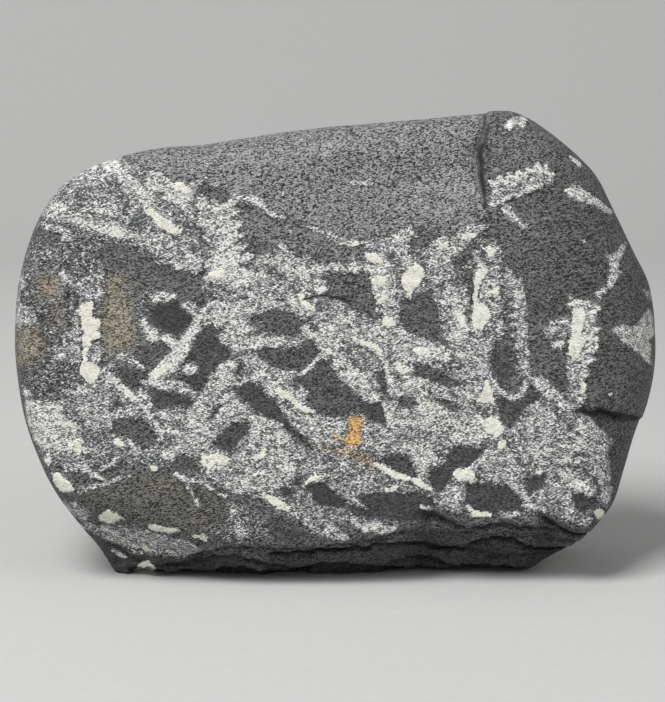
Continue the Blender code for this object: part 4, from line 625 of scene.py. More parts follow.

# Bright strands and edges, drawn over the dark places, two of them painted highlight along the left rim: (how
# whole, centreline with half widths)
STRANDS = [
    # the bright edges of the teeth on the upright stipe at the right
    (0.98, [(58.9, 31.5, 0.08), (59.4, 31.1, 0.09), (59.9, 30.7, 0.06)]),
    (0.98, [(58.9, 33.7, 0.08), (59.4, 33.2, 0.10), (59.9, 32.9, 0.06)]),
    (0.98, [(58.4, 33.5, 0.08), (58.9, 34.2, 0.10), (59.7, 33.9, 0.06)]),
    (0.96, [(58.9, 35.0, 0.08), (59.4, 34.9, 0.08), (59.7, 34.5, 0.06)]),
    (0.96, [(58.6, 36.2, 0.07), (59.0, 36.1, 0.09), (59.4, 35.9, 0.07)]),
    (0.98, [(56.9, 30.5, 0.10), (57.6, 30.2, 0.12), (58.6, 30.3, 0.10)]),
    # the bright edges of the teeth on the short wide stipe at the upper left
    (0.98, [(21.5, 21.0, 0.09), (22.4, 20.5, 0.10), (23.2, 20.0, 0.07)]),
    (0.98, [(23.2, 22.9, 0.08), (23.7, 22.6, 0.09), (24.2, 22.3, 0.06)]),
    (0.98, [(21.9, 24.7, 0.10), (22.6, 24.1, 0.11), (23.4, 23.4, 0.09), (24.2, 23.4, 0.06)]),
    (0.98, [(22.6, 25.5, 0.09), (23.3, 24.9, 0.11), (24.0, 24.5, 0.07)]),
    (0.96, [(24.0, 25.3, 0.08), (24.8, 25.7, 0.09), (24.2, 26.1, 0.06)]),
    # the bright edges of the toothed stipe at the upper right
    (1.00, [(49.0, 18.1, 0.09), (49.6, 18.5, 0.11), (49.9, 17.6, 0.07), (50.6, 18.3, 0.11),
            (50.9, 17.4, 0.07), (51.5, 18.0, 0.11), (51.9, 17.2, 0.07), (52.5, 17.7, 0.11),
            (52.9, 16.9, 0.07), (53.3, 17.3, 0.11), (53.7, 16.4, 0.07), (54.2, 17.3, 0.11),
            (54.6, 16.5, 0.07), (54.9, 17.4, 0.10), (55.4, 17.5, 0.06)]),
    (0.92, [(49.2, 20.4, 0.12), (50.0, 20.2, 0.12), (51.0, 19.6, 0.10), (52.0, 19.4, 0.08),
            (53.2, 18.9, 0.10), (54.2, 18.4, 0.08)]),
    # painted highlight along the top-left rim
    (0.50, [(6.8, 18.2, 0.1), (5.8, 19.2, 0.12), (5.0, 20.3, 0.12), (4.3, 21.4, 0.1)]),
    (0.90, [(8.8, 20.9, 0.03), (10.0, 21.1, 0.06), (12.1, 21.3, 0.03)]),
    (0.75, [(4.9, 22.6, 0.1), (5.5, 22.9, 0.25), (6.2, 23.1, 0.2)]),
    (0.62, [(15.6, 26.0, 0.05), (17.5, 26.6, 0.1), (19.0, 27.0, 0.1), (19.7, 27.4, 0.05)]),
    (0.62, [(8.1, 24.3, 0.02), (8.3, 25.2, 0.03), (8.3, 26.2, 0.02)]),
    (0.85, [(7.3, 33.1, 0.05), (6.4, 33.7, 0.06), (6.5, 34.7, 0.05)]),
    # painted highlight along the left rim
    (0.48, [(2.3, 27.5, 0.1), (1.9, 29.8, 0.15), (1.7, 32.0, 0.1)]),
    (0.95, [(15.6, 33.6, 0.1), (17.6, 34.8, 0.15)]),
    (0.80, [(21.0, 30.2, 0.12), (22.6, 30.8, 0.15)]),
    (0.74, [(15.0, 38.2, 0.2), (16.2, 38.5, 0.3), (18.8, 39.1, 0.18), (19.8, 39.6, 0.12)]),
    (0.85, [(14.2, 38.2, 0.05), (14.7, 38.5, 0.06)]),
    (0.88, [(10.2, 36.9, 0.08), (11.7, 38.2, 0.28), (13.0, 39.6, 0.28), (14.2, 40.7, 0.15),
            (15.5, 42.2, 0.15), (16.2, 43.2, 0.22)]),
    (0.62, [(11.9, 35.3, 0.15), (12.6, 36.0, 0.2), (14.4, 36.8, 0.15)]),
    (0.80, [(10.6, 40.6, 0.18), (10.8, 41.6, 0.12), (11.0, 42.6, 0.2)]),
    (0.85, [(16.9, 42.8, 0.18), (18.2, 43.8, 0.22)]),
    (0.90, [(17.5, 47.4, 0.08), (18.2, 47.9, 0.2), (20.0, 48.2, 0.06), (22.5, 49.7, 0.05)]),
    (0.85, [(12.8, 44.0, 0.05), (13.5, 45.0, 0.06), (14.3, 45.3, 0.05)]),
    (0.90, [(15.9, 44.0, 0.12), (15.95, 44.05, 0.12)]),
    (0.85, [(5.0, 42.0, 0.2), (6.2, 42.2, 0.25), (7.8, 42.7, 0.2)]),
    (0.75, [(9.1, 47.5, 0.04), (10.2, 47.9, 0.05)]),
    (0.60, [(9.5, 47.5, 0.04), (11.4, 46.3, 0.05), (11.7, 45.3, 0.04)]),
    (0.60, [(7.9, 49.2, 0.05), (10.6, 48.3, 0.06), (13.0, 47.5, 0.05)]),
    (0.80, [(8.6, 46.9, 0.15), (9.1, 47.5, 0.12)]),
    (0.62, [(18.7, 48.5, 0.02), (19.7, 50.0, 0.04), (20.0, 50.9, 0.02)]),
    (0.80, [(7.6, 52.3, 0.05), (8.4, 52.8, 0.08)]),
    (0.60, [(20.6, 16.5, 0.08), (21.7, 16.1, 0.03)]),
    (0.85, [(20.3, 17.7, 0.08), (20.9, 18.0, 0.08), (21.5, 18.6, 0.05)]),
    (0.62, [(30.8, 27.4, 0.04), (32.8, 27.5, 0.05)]),
    (0.95, [(26.2, 20.7, 0.06), (26.8, 21.2, 0.08), (28.3, 21.8, 0.05)]),
    (0.75, [(23.2, 19.4, 0.02), (24.1, 19.8, 0.04)]),
    (0.90, [(28.2, 19.2, 0.05), (28.25, 19.2, 0.05)]),
    (0.80, [(29.0, 22.9, 0.02), (29.05, 23.3, 0.02)]),
    (0.60, [(35.0, 18.2, 0.03), (37.0, 18.1, 0.04)]),
    (0.85, [(20.4, 28.6, 0.1), (20.45, 28.6, 0.1)]),
    (0.80, [(25.0, 30.0, 0.08), (25.4, 31.2, 0.1)]),
    (0.80, [(25.7, 31.3, 0.06), (26.8, 30.9, 0.08)]),
    (0.95, [(30.3, 37.2, 0.06), (31.3, 36.5, 0.1), (31.8, 35.8, 0.08), (33.0, 35.2, 0.2)]),
    (0.80, [(27.6, 37.6, 0.05), (28.6, 37.4, 0.06), (29.8, 37.3, 0.05)]),
    (0.85, [(25.3, 41.5, 0.06), (28.1, 42.6, 0.08)]),
    (0.60, [(35.4, 49.8, 0.06), (35.8, 50.5, 0.1), (36.6, 50.8, 0.06)]),
    (0.72, [(36.5, 25.2, 0.06), (37.2, 27.8, 0.06), (37.7, 30.0, 0.06)]),
    (0.80, [(40.5, 29.0, 0.1), (41.0, 29.8, 0.05)]),
    (0.80, [(47.4, 25.4, 0.08), (47.9, 26.2, 0.2), (48.4, 27.0, 0.3)]),
    (0.82, [(48.7, 35.0, 0.05), (48.6, 36.5, 0.05)]),
    (0.80, [(49.5, 34.1, 0.04), (48.8, 34.3, 0.06)]),
    (0.82, [(52.8, 38.5, 0.08), (52.2, 39.4, 0.1), (51.3, 39.9, 0.08), (50.5, 39.5, 0.08),
            (49.0, 37.8, 0.1)]),
    (0.82, [(40.0, 37.5, 0.1), (43.2, 38.3, 0.12)]),
    (0.82, [(39.8, 38.0, 0.1), (41.8, 38.8, 0.1)]),
    (0.82, [(38.8, 37.2, 0.1), (39.2, 39.0, 0.12), (40.0, 39.5, 0.1)]),
    (0.88, [(43.2, 38.4, 0.06), (44.2, 39.0, 0.18), (44.8, 39.8, 0.1)]),
    (0.88, [(36.5, 34.2, 0.12), (37.8, 35.2, 0.15), (38.7, 36.5, 0.12), (38.8, 38.0, 0.1),
            (39.0, 39.2, 0.1)]),
    (0.85, [(38.3, 40.0, 0.12), (39.0, 41.8, 0.2), (39.6, 42.6, 0.25), (40.2, 42.2, 0.3)]),
    (0.68, [(47.2, 47.0, 0.2), (48.4, 45.8, 0.25)]),
    (0.80, [(51.8, 44.5, 0.08), (52.5, 46.2, 0.08)]),
    (1.00, [(42.1, 50.8, 0.06), (43.1, 50.9, 0.06)]),
    (0.85, [(51.0, 48.2, 0.2), (51.6, 48.8, 0.3), (52.8, 50.1, 0.15)]),
    (0.80, [(52.5, 50.5, 0.08), (53.6, 50.8, 0.1)]),
    (0.85, [(35.3, 52.1, 0.1), (35.9, 52.8, 0.1)]),
    (0.80, [(61.0, 39.4, 0.04), (61.05, 39.4, 0.04)]),
    (0.90, [(57.0, 29.65, 0.06), (57.05, 29.65, 0.06)]),
    (0.80, [(58.4, 24.3, 0.05), (58.45, 24.3, 0.05)]),
    (0.92, [(22.0, 21.9, 0.15), (23.9, 21.1, 0.08)]),
    (0.92, [(22.0, 23.0, 0.15), (24.1, 22.4, 0.08)]),
    (0.92, [(21.9, 25.0, 0.18), (24.3, 23.3, 0.08)]),
    (0.92, [(22.6, 25.6, 0.18), (24.8, 24.4, 0.08)]),
    (0.92, [(23.2, 26.4, 0.18), (25.1, 25.6, 0.10)]),
    (0.90, [(21.4, 21.2, 0.12), (24.2, 19.8, 0.08)]),
    (0.85, [(51.7, 19.6, 0.06), (54.2, 18.5, 0.06)]),
    (0.62, [(48.2, 34.2, 0.05), (48.3, 36.5, 0.05)]),
    (0.65, [(16.5, 38.3, 0.2), (17.7, 38.3, 0.2), (18.7, 38.7, 0.2), (19.3, 39.5, 0.1)]),
    (0.80, [(11.3, 55.0, 0.04), (12.5, 55.7, 0.05)]),
    (0.75, [(10.2, 52.9, 0.03), (11.6, 53.5, 0.05)]),
    (0.66, [(35.3, 18.4, 0.05), (37.3, 18.4, 0.03)]),
    (0.60, [(45.0, 16.2, 0.05), (46.7, 15.8, 0.03)]),
]

# Cream strands: (how whole, centreline with half widths)
CREAM_STRANDS = [
    (0.90, [(8.7, 34.9, 0.08), (8.3, 35.4, 0.12), (8.6, 35.9, 0.08)]),
    (0.85, [(35.4, 34.0, 0.12), (37.4, 34.6, 0.22), (38.0, 35.2, 0.12)]),
    (0.76, [(26.3, 49.6, 0.08), (27.2, 49.9, 0.25), (28.0, 50.4, 0.25), (28.8, 51.0, 0.15)]),
    (0.72, [(30.6, 48.2, 0.08), (31.4, 47.8, 0.12), (32.2, 47.6, 0.08)]),
    (0.90, [(37.5, 46.5, 0.12), (39.4, 47.4, 0.2), (41.2, 48.0, 0.1), (42.0, 48.2, 0.25),
            (43.0, 49.0, 0.06)]),
    (0.82, [(38.7, 49.0, 0.08), (39.4, 48.9, 0.2), (39.8, 48.7, 0.06)]),
    (0.76, [(46.8, 50.7, 0.12), (47.4, 51.3, 0.25), (49.0, 51.5, 0.08)]),
]

# Cracks and open joints in the face, the last two painted shadow along the hollow's step: (how dark,
# centreline with half widths)
CRACKS_AND_SHADE = [
    (0.65, [(4.4, 22.0, 0.02), (6.5, 22.6, 0.04), (7.2, 22.8, 0.02)]),
    (0.75, [(6.1, 29.8, 0.03), (6.6, 29.9, 0.05), (6.9, 29.4, 0.03)]),
    (0.55, [(10.7, 36.0, 0.03), (11.9, 36.6, 0.03)]),
    (0.60, [(19.7, 18.8, 0.01), (19.4, 19.8, 0.02), (19.2, 20.8, 0.01)]),
    (0.70, [(20.0, 23.7, 0.04), (20.9, 24.6, 0.04)]),
    (0.60, [(26.8, 27.1, 0.03), (28.4, 27.6, 0.04)]),
    (0.80, [(30.5, 29.9, 0.03), (32.5, 29.5, 0.05), (34.3, 29.9, 0.05), (35.0, 30.3, 0.02)]),
    (0.65, [(46.8, 28.7, 0.01), (47.1, 29.8, 0.02), (46.9, 31.5, 0.02), (47.0, 32.4, 0.01)]),
    (0.60, [(55.0, 46.3, 0.01), (56.7, 46.7, 0.04), (58.2, 46.8, 0.06), (59.3, 47.7, 0.06),
            (60.0, 48.7, 0.04), (59.6, 49.7, 0.01)]),
    (0.70, [(55.2, 40.8, 0.03), (56.0, 41.8, 0.05), (57.2, 43.0, 0.03), (58.2, 43.6, 0.03)]),
    (0.60, [(57.2, 45.7, 0.02), (58.2, 45.5, 0.03), (59.5, 46.0, 0.02)]),
    (0.95, [(59.8, 40.9, 0.04), (61.8, 41.5, 0.08), (63.7, 41.8, 0.06)]),
    (0.60, [(34.2, 12.5, 0.06), (34.8, 12.7, 0.03)]),
    (0.60, [(16.7, 37.2, 0.03), (17.4, 37.4, 0.03)]),
    (0.60, [(54.4, 16.8, 0.02), (54.4, 18.2, 0.02)]),
    # painted shadow along the hollow's step: a wide soft band, then a narrow dark line
    (0.38, [(49.0, 12.3, 0.10), (48.5, 13.6, 0.30), (47.8, 15.0, 0.50), (47.7, 16.5, 0.50),
            (47.8, 17.8, 0.45), (48.2, 19.3, 0.30), (48.5, 20.8, 0.10)]),
    (0.66, [(49.0, 12.4, 0.04), (48.7, 13.6, 0.10), (48.1, 15.0, 0.18), (48.1, 16.5, 0.18),
            (48.2, 17.7, 0.18), (48.4, 19.3, 0.12), (48.6, 20.8, 0.04)]),
]

# Where the shale is paler, partly fresh shale and partly painted light from above: the hollow above the lip,
# and fainter places: (how clean, outline)
PALE_GROUND_AND_LIGHT = [
    (0.25, [(60.4, 20.0), (66.4, 26.0), (66.8, 36.0), (66.0, 41.6), (62.4, 41.0), (60.6, 38.0),
            (63.0, 30.0)]),
    (1.00, [(11.0, 5.0), (12.2, 14.8), (12.6, 15.6), (14.4, 16.8), (16.0, 17.4), (18.0, 18.2), (20.7, 17.7),
            (21.6, 18.6), (24.0, 19.8), (25.5, 20.4), (27.0, 21.2), (28.5, 21.8), (31.0, 22.6), (34.0, 23.8),
            (37.0, 24.0), (40.0, 23.0), (41.4, 22.3), (44.5, 23.6), (46.7, 22.6), (48.6, 21.5), (48.6, 20.8),
            (48.2, 17.7), (48.2, 15.0), (49.0, 12.3), (49.3, 10.0), (49.3, 5.0)]),
    (0.65, [(22.6, 20.6), (25.4, 21.2), (28.5, 22.2), (31.0, 23.0), (34.0, 24.4), (36.6, 25.4), (36.4, 26.2),
            (31.0, 25.4), (27.0, 24.4), (24.6, 24.0), (23.4, 22.4)]),
    (0.45, [(49.4, 13.6), (55.0, 13.0), (60.0, 16.0), (61.4, 20.4), (57.0, 18.4), (55.6, 16.4), (52.0, 16.2),
            (49.0, 17.6)]),
    (0.35, [(2.4, 24.0), (7.0, 24.4), (14.0, 25.6), (18.0, 28.6), (14.0, 30.8), (13.6, 34.0), (10.0, 30.0),
            (6.0, 30.0), (3.0, 31.0), (1.9, 28.0)]),
]

# Brown and olive stains, and the orange one: (how strong, outline)
BROWN_STAINS = [
    (0.85, [(3.7, 27.5), (6.0, 27.5), (6.0, 29.7), (5.0, 29.8), (3.7, 29.5)]),
    (0.80, [(1.7, 32.7), (3.7, 32.7), (4.3, 33.7), (4.2, 35.5), (3.2, 36.5), (1.7, 36.3)]),
    (0.40, [(5.0, 30.0), (6.8, 30.0), (6.8, 33.0), (5.0, 33.0)]),
    (0.85, [(10.5, 27.5), (12.5, 27.5), (13.0, 29.8), (13.3, 32.0), (13.7, 34.2), (12.7, 35.2), (11.3, 35.5),
            (10.5, 34.5), (10.3, 32.0), (10.5, 29.8)]),
    (0.35, [(14.7, 48.0), (18.5, 48.0), (18.3, 49.3), (15.0, 49.4)]),
    (0.30, [(19.3, 51.8), (20.0, 51.8), (20.0, 52.5), (19.4, 52.5)]),
    (0.30, [(38.5, 56.2), (44.0, 56.4), (50.0, 56.6), (50.0, 57.4), (44.0, 57.2), (38.5, 57.2)]),
    (0.25, [(34.5, 45.2), (36.0, 45.0), (37.5, 45.8), (37.3, 46.7), (36.0, 46.5), (35.0, 46.0)]),
]
RUST_STAINS = [
    (1.00, [(34.7, 42.0), (35.2, 41.7), (36.3, 41.6), (36.0, 43.4), (36.1, 44.0), (35.9, 44.5), (35.2, 44.8),
            (34.8, 44.6), (34.7, 43.6), (34.9, 42.8)]),
]
RUST_STREAKS = [
    (0.75, [(33.2, 43.6, 0.15), (34.0, 43.9, 0.2), (34.7, 44.1, 0.2)]),
    (0.40, [(32.0, 44.8, 0.2), (33.2, 44.9, 0.3), (34.6, 45.2, 0.4), (36.0, 45.8, 0.5), (37.2, 46.4, 0.4)]),
]
OLIVE_GROUND = [(7.8, 49.7), (9.7, 48.7), (11.7, 47.8), (14.0, 47.3), (16.0, 47.3), (17.7, 47.8),
                (19.3, 48.3), (21.0, 48.7), (22.7, 49.8), (22.8, 51.2), (22.3, 52.5), (20.2, 52.5),
                (19.0, 53.0), (17.7, 52.8), (16.0, 52.5), (14.3, 52.0), (12.7, 51.8), (11.0, 51.2),
                (10.0, 51.0), (8.3, 50.5)]
STREAKED_FROM = (52.0, 58.0)     # the right side shows the edges of the layers: map right, from none to full
FOOT_SHADE_FROM = (1.0, 4.0)      # painted shade: the undercut foot darkens with its depth: millimetres deep, from none to full

# Noises in the face frame: (how long on each axis, blobs to the metre, detail, roughness)
GRAIN_RISE = math.radians(7.0)   # they rise to the right by this much, apart from the fibres
GRAIN_SHAPE = (1.75, 1.3, 1.0)   # long across, short up
SOFT_GRAIN = (GRAIN_SHAPE, 3600.0, 2.0, 0.6)
MOTTLE = ((1.25, 1.0, 1.0), 850.0, 3.0, 0.6)
FLECKS = ((4.0, 1.5, 1.0), 6500.0, 1.0, 0.5)
FIBRES = ((3.2, 1.2, 1.0), 2900.0, 1.0, 0.5)
FLAKES = ((1.3, 1.0, 1.0), 1900.0, 2.0, 0.5)
CLOUDS = ((1.4, 1.0, 1.0), 330.0, 2.0, 0.5)
STREAKS = ((5.0, 1.5, 1.0), 4200.0, 2.0, 0.6)
FINE_BEDS = ((16.0, 1.0, 16.0), 2600.0, 3.0, 0.7)
BROAD_BEDS = ((20.0, 1.0, 20.0), 700.0, 2.0, 0.5)
WEATHER = ((1.0, 1.0, 1.0), 75.0, 4.0, 0.6)
PAPER_FIBRE = (900.0, 3.0, 0.6)  # this one isn't turned or drawn out

# Grains of one even shade each: (how long on each axis, grains to the metre)
CELLS = (GRAIN_SHAPE, 7600.0)
FINE_CELLS = ((1.9, 1.0, 1.0), 11500.0)

# Threads run through the films where their noise is near its middle: how near, and the two ways they run
FIBRE_WIDTH = 0.07
FIBRE_RISES = (math.radians(24.0), math.radians(-38.0))

# How far each noise swings the level that it goes into
MIDDLE = 0.5                     # what every noise swings about
GRAIN_CELLS, GRAIN_SOFT = 0.42, 0.55
SHALE_MOTTLE, SHALE_FINE = 0.70, 2.1
FACE_FINE, FILM_FINE, CREAM_FINE = 1.8, 2.8, 0.7
STREAK_EDGE_GRAIN = 0.25
FINE_BED_SHARE, BROAD_BED_SHARE = 0.6, 0.4
FILM_EDGE_GRAIN = 0.10
FILM_SHARES = {"film_grain": 0.40, "threads": 0.45, "mottle": 0.70, "flakes": 1.00, "clouds": 0.25}
THREAD_LIFT = 0.06               # added to every film, for the dark that the threads leave between them
CREAM_EDGE_GRAIN, CREAM_EDGE_FLAKES, CREAM_FLAKES = 0.22, 0.6, 0.9
RUST_EDGE_GRAIN, RUST_FLAKES = 0.8, 1.0

# The levels between which each thing goes from none to full
GRAIN_LOW, GRAIN_HIGH = -0.20, 1.22
FLECKS_FROM = (0.64, 0.76)
BEDS_FROM = (0.36, 0.64)
STREAK_PALE_FROM = (0.38, 0.66)
STAIN_FROM = (0.05, 0.50)
FILM_FROM = (0.12, 0.28)
SILVER_FROM = (0.10, 0.78)
WHITE_FROM = (0.66, 1.10)
CREAM_FROM = (0.30, 0.62)
CREAM_MARK_FROM = (0.1, 0.3)
CREAM_PALE_FROM = (-0.25, 0.75)
RUST_FROM = (0.3, 0.7)
RUST_PALE_FROM = (0.0, 0.8)
CRACK_AND_SHADE_FROM = (0.15, 0.75)
WEATHER_FROM = (0.50, 0.72)
SIDE_FILM_FROM = (0.2, 0.8)
SIDE_SPECKS_FROM = (0.42, 0.62)
PAPER_FROM = (0.3, 0.7)

# How far each mark takes over the colour under it, at its strongest
# the hollow's cover is partly painted light from above, and the foot's is painted shade
HOLLOW_AND_LIGHT_COVER, STREAK_COVER, OLIVE_COVER, BARE_COVER, FOOT_SHADE_COVER = 0.9, 0.7, 0.7, 0.95, 0.85
BEDS_COVER, WEATHER_COVER = 0.45, 0.45

# The finish: roughness, and how high each thing stands in the bump, against the grain's 1
FACE_ROUGHNESS, FILM_SMOOTHER, HOLLOW_SMOOTHER = 0.66, 0.14, 0.10
SIDE_ROUGHNESS, MOTTLE_SMOOTHER = 0.74, 0.16
PAPER_ROUGHNESS, PAPER_SHADE = 0.9, 0.97
BUMP_STRENGTH = 0.8
FILM_BUMP, CREAM_BUMP, BEDS_BUMP = 0.5, 0.4, 0.6

# The kinds of a group's sockets
COLOUR, VALUE = "NodeSocketColor", "NodeSocketFloat"

# The stage, in metres
FLOOR_FRONT, FLOOR_BACK, FLOOR_HALF = -1.0, 0.25, 1.2
SWEEP_RADIUS, WALL_TOP = 0.22, 0.9
SWEEP_STEPS = 16
KEY_PLACE, KEY_SIZE = (-0.24, -0.26, 0.56), 0.30
FILL_PLACE, FILL_SIZE = (0.45, -0.25, 0.35), 0.35
LIGHT_AIM = (0.0, 0.0, 0.024)
SENSOR = 36.0                    # the camera's sensor, in sensor millimetres
CLIP_START = 10.0 * MM


def on_face(points):
    """Map millimetres, right and down, as (u, w) in metres."""
    p = np.array(points, float)[:, :2]
    return np.stack([(p[:, 0] - MAP_MIDDLE[0]) * MM, MAP_MIDDLE_HEIGHT - (p[:, 1] - MAP_MIDDLE[1]) * MM], 1)


def on_map(points):
    """Map millimetres of points (u, w, d): what lies deeper is nearer the map's middle, as it is seen."""
    u, w, d = points.T
    nearness = 1 + d / VIEW_DISTANCE
    right = MAP_MIDDLE[0] + u / nearness / MM
    down = MAP_MIDDLE[1] - (w - MAP_MIDDLE_HEIGHT) / nearness / MM
    return right, down


def closed_curve(points, per_span):
    """A closed Catmull-Rom curve through points, with per_span samples from each point to the next."""
    p = np.asarray(points, float)
    before, after, beyond = np.roll(p, 1, 0), np.roll(p, -1, 0), np.roll(p, -2, 0)
    t = (np.arange(per_span) / per_span)[None, :, None]
    a, b, c, d = (x[:, None, :] for x in (before, p, after, beyond))
    curve = 0.5 * (2 * b + (c - a) * t + (2 * a - 5 * b + 4 * c - d) * t**2 + (3 * b - a - 3 * c + d) * t**3)
    return curve.reshape(-1, p.shape[1])


def lattice_noise(x, y, seed):
    """Smooth noise from -1 to 1: random values on a unit lattice, eased between the lattice's points."""
    rng = np.random.default_rng(seed)
    table = rng.uniform(-1, 1, (LATTICE, LATTICE))
    i, j = np.floor(x).astype(int), np.floor(y).astype(int)
    fx, fy = x - i, y - j
    fx, fy = fx * fx * (3 - 2 * fx), fy * fy * (3 - 2 * fy)
    i, right, j, above = i % LATTICE, (i + 1) % LATTICE, j % LATTICE, (j + 1) % LATTICE
    low = table[i, j] * (1 - fx) + table[right, j] * fx
    high = table[i, above] * (1 - fx) + table[right, above] * fx
    return low * (1 - fy) + high * fy


def lumps(x, y, layers):
    """Low relief: the sum of the layers, each given as (height, length across, length up, seed)."""
    return sum(height * lattice_noise(x / across, y / up, seed) for height, across, up, seed in layers)


def smooth(x):
    """Eases from 0 to 1 as x goes from 0 to 1."""
    t = np.clip(x, 0, 1)
    return t * t * (3 - 2 * t)


def spread(count, start, end):
    """count + 1 places from 0 to 1, closer together at each end by the (times, reach) given for it."""
    place = np.linspace(0, 1, SPREAD_STEPS * count + 1)
    crowd = 1 + start[0] * np.exp(-(place / start[1])**2) + end[0] * np.exp(-((1 - place) / end[1])**2)
    total = np.concatenate([[0], np.cumsum((crowd[1:] + crowd[:-1]) / 2)])
    return np.interp(np.linspace(0, total[-1], count + 1), total, place)


def along(curve, shares):
    """Points of an open polyline at the given shares of its length."""
    lengths = np.concatenate([[0], np.cumsum(np.linalg.norm(np.diff(curve[:, :2], axis=0), axis=1))])
    return np.stack([np.interp(shares * lengths[-1], lengths, curve[:, k]) for k in range(curve.shape[1])], 1)


def outline_sides(columns, rows):
    """The outline's foot, right, top and left sides, from corner to corner, as (u, w, worn radius)."""
    knots = np.concatenate([on_face(OUTLINE), np.array(OUTLINE)[:, 2:] * MM], 1)
    curve = closed_curve(knots, POINTS_PER_SPAN)
    ring = np.concatenate([curve, curve[:1]])
    cut = [k * POINTS_PER_SPAN for k in (FOOT_LEFT, TOP_LEFT, TOP_RIGHT, FOOT_RIGHT)]
    left, top = ring[cut[0]:cut[1] + 1], ring[cut[1]:cut[2] + 1]
    right, foot = ring[cut[2]:cut[3] + 1][::-1], ring[cut[3]:][::-1]
    across, up = spread(columns, SIDE_CROWD, SIDE_CROWD), spread(rows, FOOT_CROWD, SIDE_CROWD)
    return along(foot, across), along(right, up), along(top, across), along(left, up), curve


def coons_patch(foot, right, top, left):
    """The surface between four sides: each point blends the sides it lies between, less the corners."""
    a = np.linspace(0, 1, len(foot))[None, :, None]
    b = np.linspace(0, 1, len(left))[:, None, None]
    ruled = (1 - b) * foot[None] + b * top[None] + (1 - a) * left[:, None] + a * right[:, None]
    corners = ((1 - a) * (1 - b) * foot[0] + a * (1 - b) * foot[-1] + (1 - a) * b * top[0] + a * b * top[-1])
    return ruled - corners


def to_outline(u, w, curve):
    """Each point's distance to the outline, and the worn radius of the outline's nearest point."""
    start, end = curve[:, :2], np.roll(curve[:, :2], -1, 0)
    best = np.full(u.shape, np.inf)
    radius = np.zeros(u.shape)
    for p, q, r in zip(start, end, curve[:, 2]):
        run = q - p
        t = np.clip(((u - p[0]) * run[0] + (w - p[1]) * run[1]) / (run @ run), 0, 1)
        away = np.hypot(u - p[0] - t * run[0], w - p[1] - t * run[1])
        nearer = away < best
        best = np.where(nearer, away, best)
        radius = np.where(nearer, r, radius)
    return best, radius


def worn_edge(distance, radius):
    """How far a quarter-round edge has fallen back, at a distance in from the outline."""
    x = np.clip(1 - distance / radius, 0, 1)
    return radius * (1 - np.sqrt(1 - x * x))


def height_of(points, u):
    """The height of a line drawn on the map from left to right, at each u."""
    line = on_face(points)
    return np.interp(u, line[:, 0], line[:, 1])


def foot_depth(u, w):
    """The chamfered foot and the broken layers stepping back under it: its depth, and where joints open, a
    share painted as shade in them.
    """
    below = np.maximum(height_of(CHAMFER_LINE, u) - w, 0)
    slopes = np.array(CHAMFER_SLOPES)
    slope = np.interp(u / MM + MAP_MIDDLE[0], slopes[:, 0], slopes[:, 1])
    depth = slope * below * smooth(below / CHAMFER_EASE)
    gape_and_shade = np.zeros_like(u)
    for number, (step, joint, edge) in enumerate(LEDGES):
        line = on_face(edge)
        under = height_of(edge, u) + lumps(u, np.full_like(u, number), LEDGE_WANDER) - w
        inside = smooth((u - line[0, 0]) / LEDGE_FADE) * smooth((line[-1, 0] + LEDGE_FADE - u) / LEDGE_FADE)
        crevice = np.exp(-np.maximum(under, 0) / JOINT_HEIGHT) * joint
        fallen = inside * smooth(under / LEDGE_SHARPNESS)
        depth += fallen * (step + crevice) * MM
        gape_and_shade = np.maximum(gape_and_shade, fallen * crevice)
    rough = smooth(below / CHAMFER_EASE)
    return depth + rough * lumps(u, w, FOOT_GRAIN), gape_and_shade


def hollow_depth(u, w):
    """The smooth hollow, deeper up from its lip and towards its step: its depth, and where it gapes, painted
    as shade in the step's corner.
    """
    above = w - height_of(HOLLOW_LIP, u)
    step = on_face(HOLLOW_STEP)
    before_step = np.interp(-w, -step[:, 1], step[:, 0]) - u
    share = HOLLOW_SHARE + (1 - HOLLOW_SHARE) * smooth(1 - before_step / HOLLOW_REACH)
    joint_depth, joint_width = STEP_JOINT
    gape_and_shade = np.exp(-np.maximum(before_step, 0) / joint_width)
    extent = smooth(above / HOLLOW_RISE) * smooth(before_step / STEP_WIDTH)
    return extent * (HOLLOW_DEPTH * share + joint_depth * gape_and_shade), extent * gape_and_shade


def tongue_depth(u, w):
    """The lower layer between the tongue's edge and the crack above it: its depth, and where it gapes,
    painted as shade in the joint.
    """
    edge = on_face(TONGUE_EDGE)
    past_edge = u - np.interp(-w, -edge[:, 1], edge[:, 0], left=OFF_THE_SLAB, right=OFF_THE_SLAB)
    under = height_of(RIGHT_CRACK, u) - w
    grown = smooth((u - edge[0, 0]) / TONGUE_START) * smooth(past_edge / STEP_WIDTH)
    grown = grown * smooth(under / LEDGE_SHARPNESS)
    gape_and_shade = np.exp(-np.maximum(under, 0) / JOINT_HEIGHT)
    return grown * (TONGUE_STEP + RIGHT_JOINT * gape_and_shade), grown * gape_and_shade


def terraces(height):
    """A height cut into whole layers: flat for most of each, then a steep broken edge up to the next."""
    layers = height / TERRACE
    whole = np.floor(layers)
    return TERRACE * (whole + smooth((layers - whole - 1 + TERRACE_EDGE) / TERRACE_EDGE))


def back_depth(u, w, distance, radius):
    """How far the back lies behind the bedding face: it thins upwards, less the layers it has lost."""
    share = np.clip(w / FACE_HEIGHT, 0, 1)
    taper = FOOT_THICKNESS - TOP_THICKNESS - BACK_SPLIT
    depth = FOOT_THICKNESS - taper * share + lumps(u, w, BACK_LUMPS + BACK_GRAIN)
    depth -= terraces(BACK_SPLIT * share + lumps(u, w, BACK_RELIEF))
    return depth - worn_edge(distance, BACK_ROUND + BACK_ROUND_SHARE * radius)


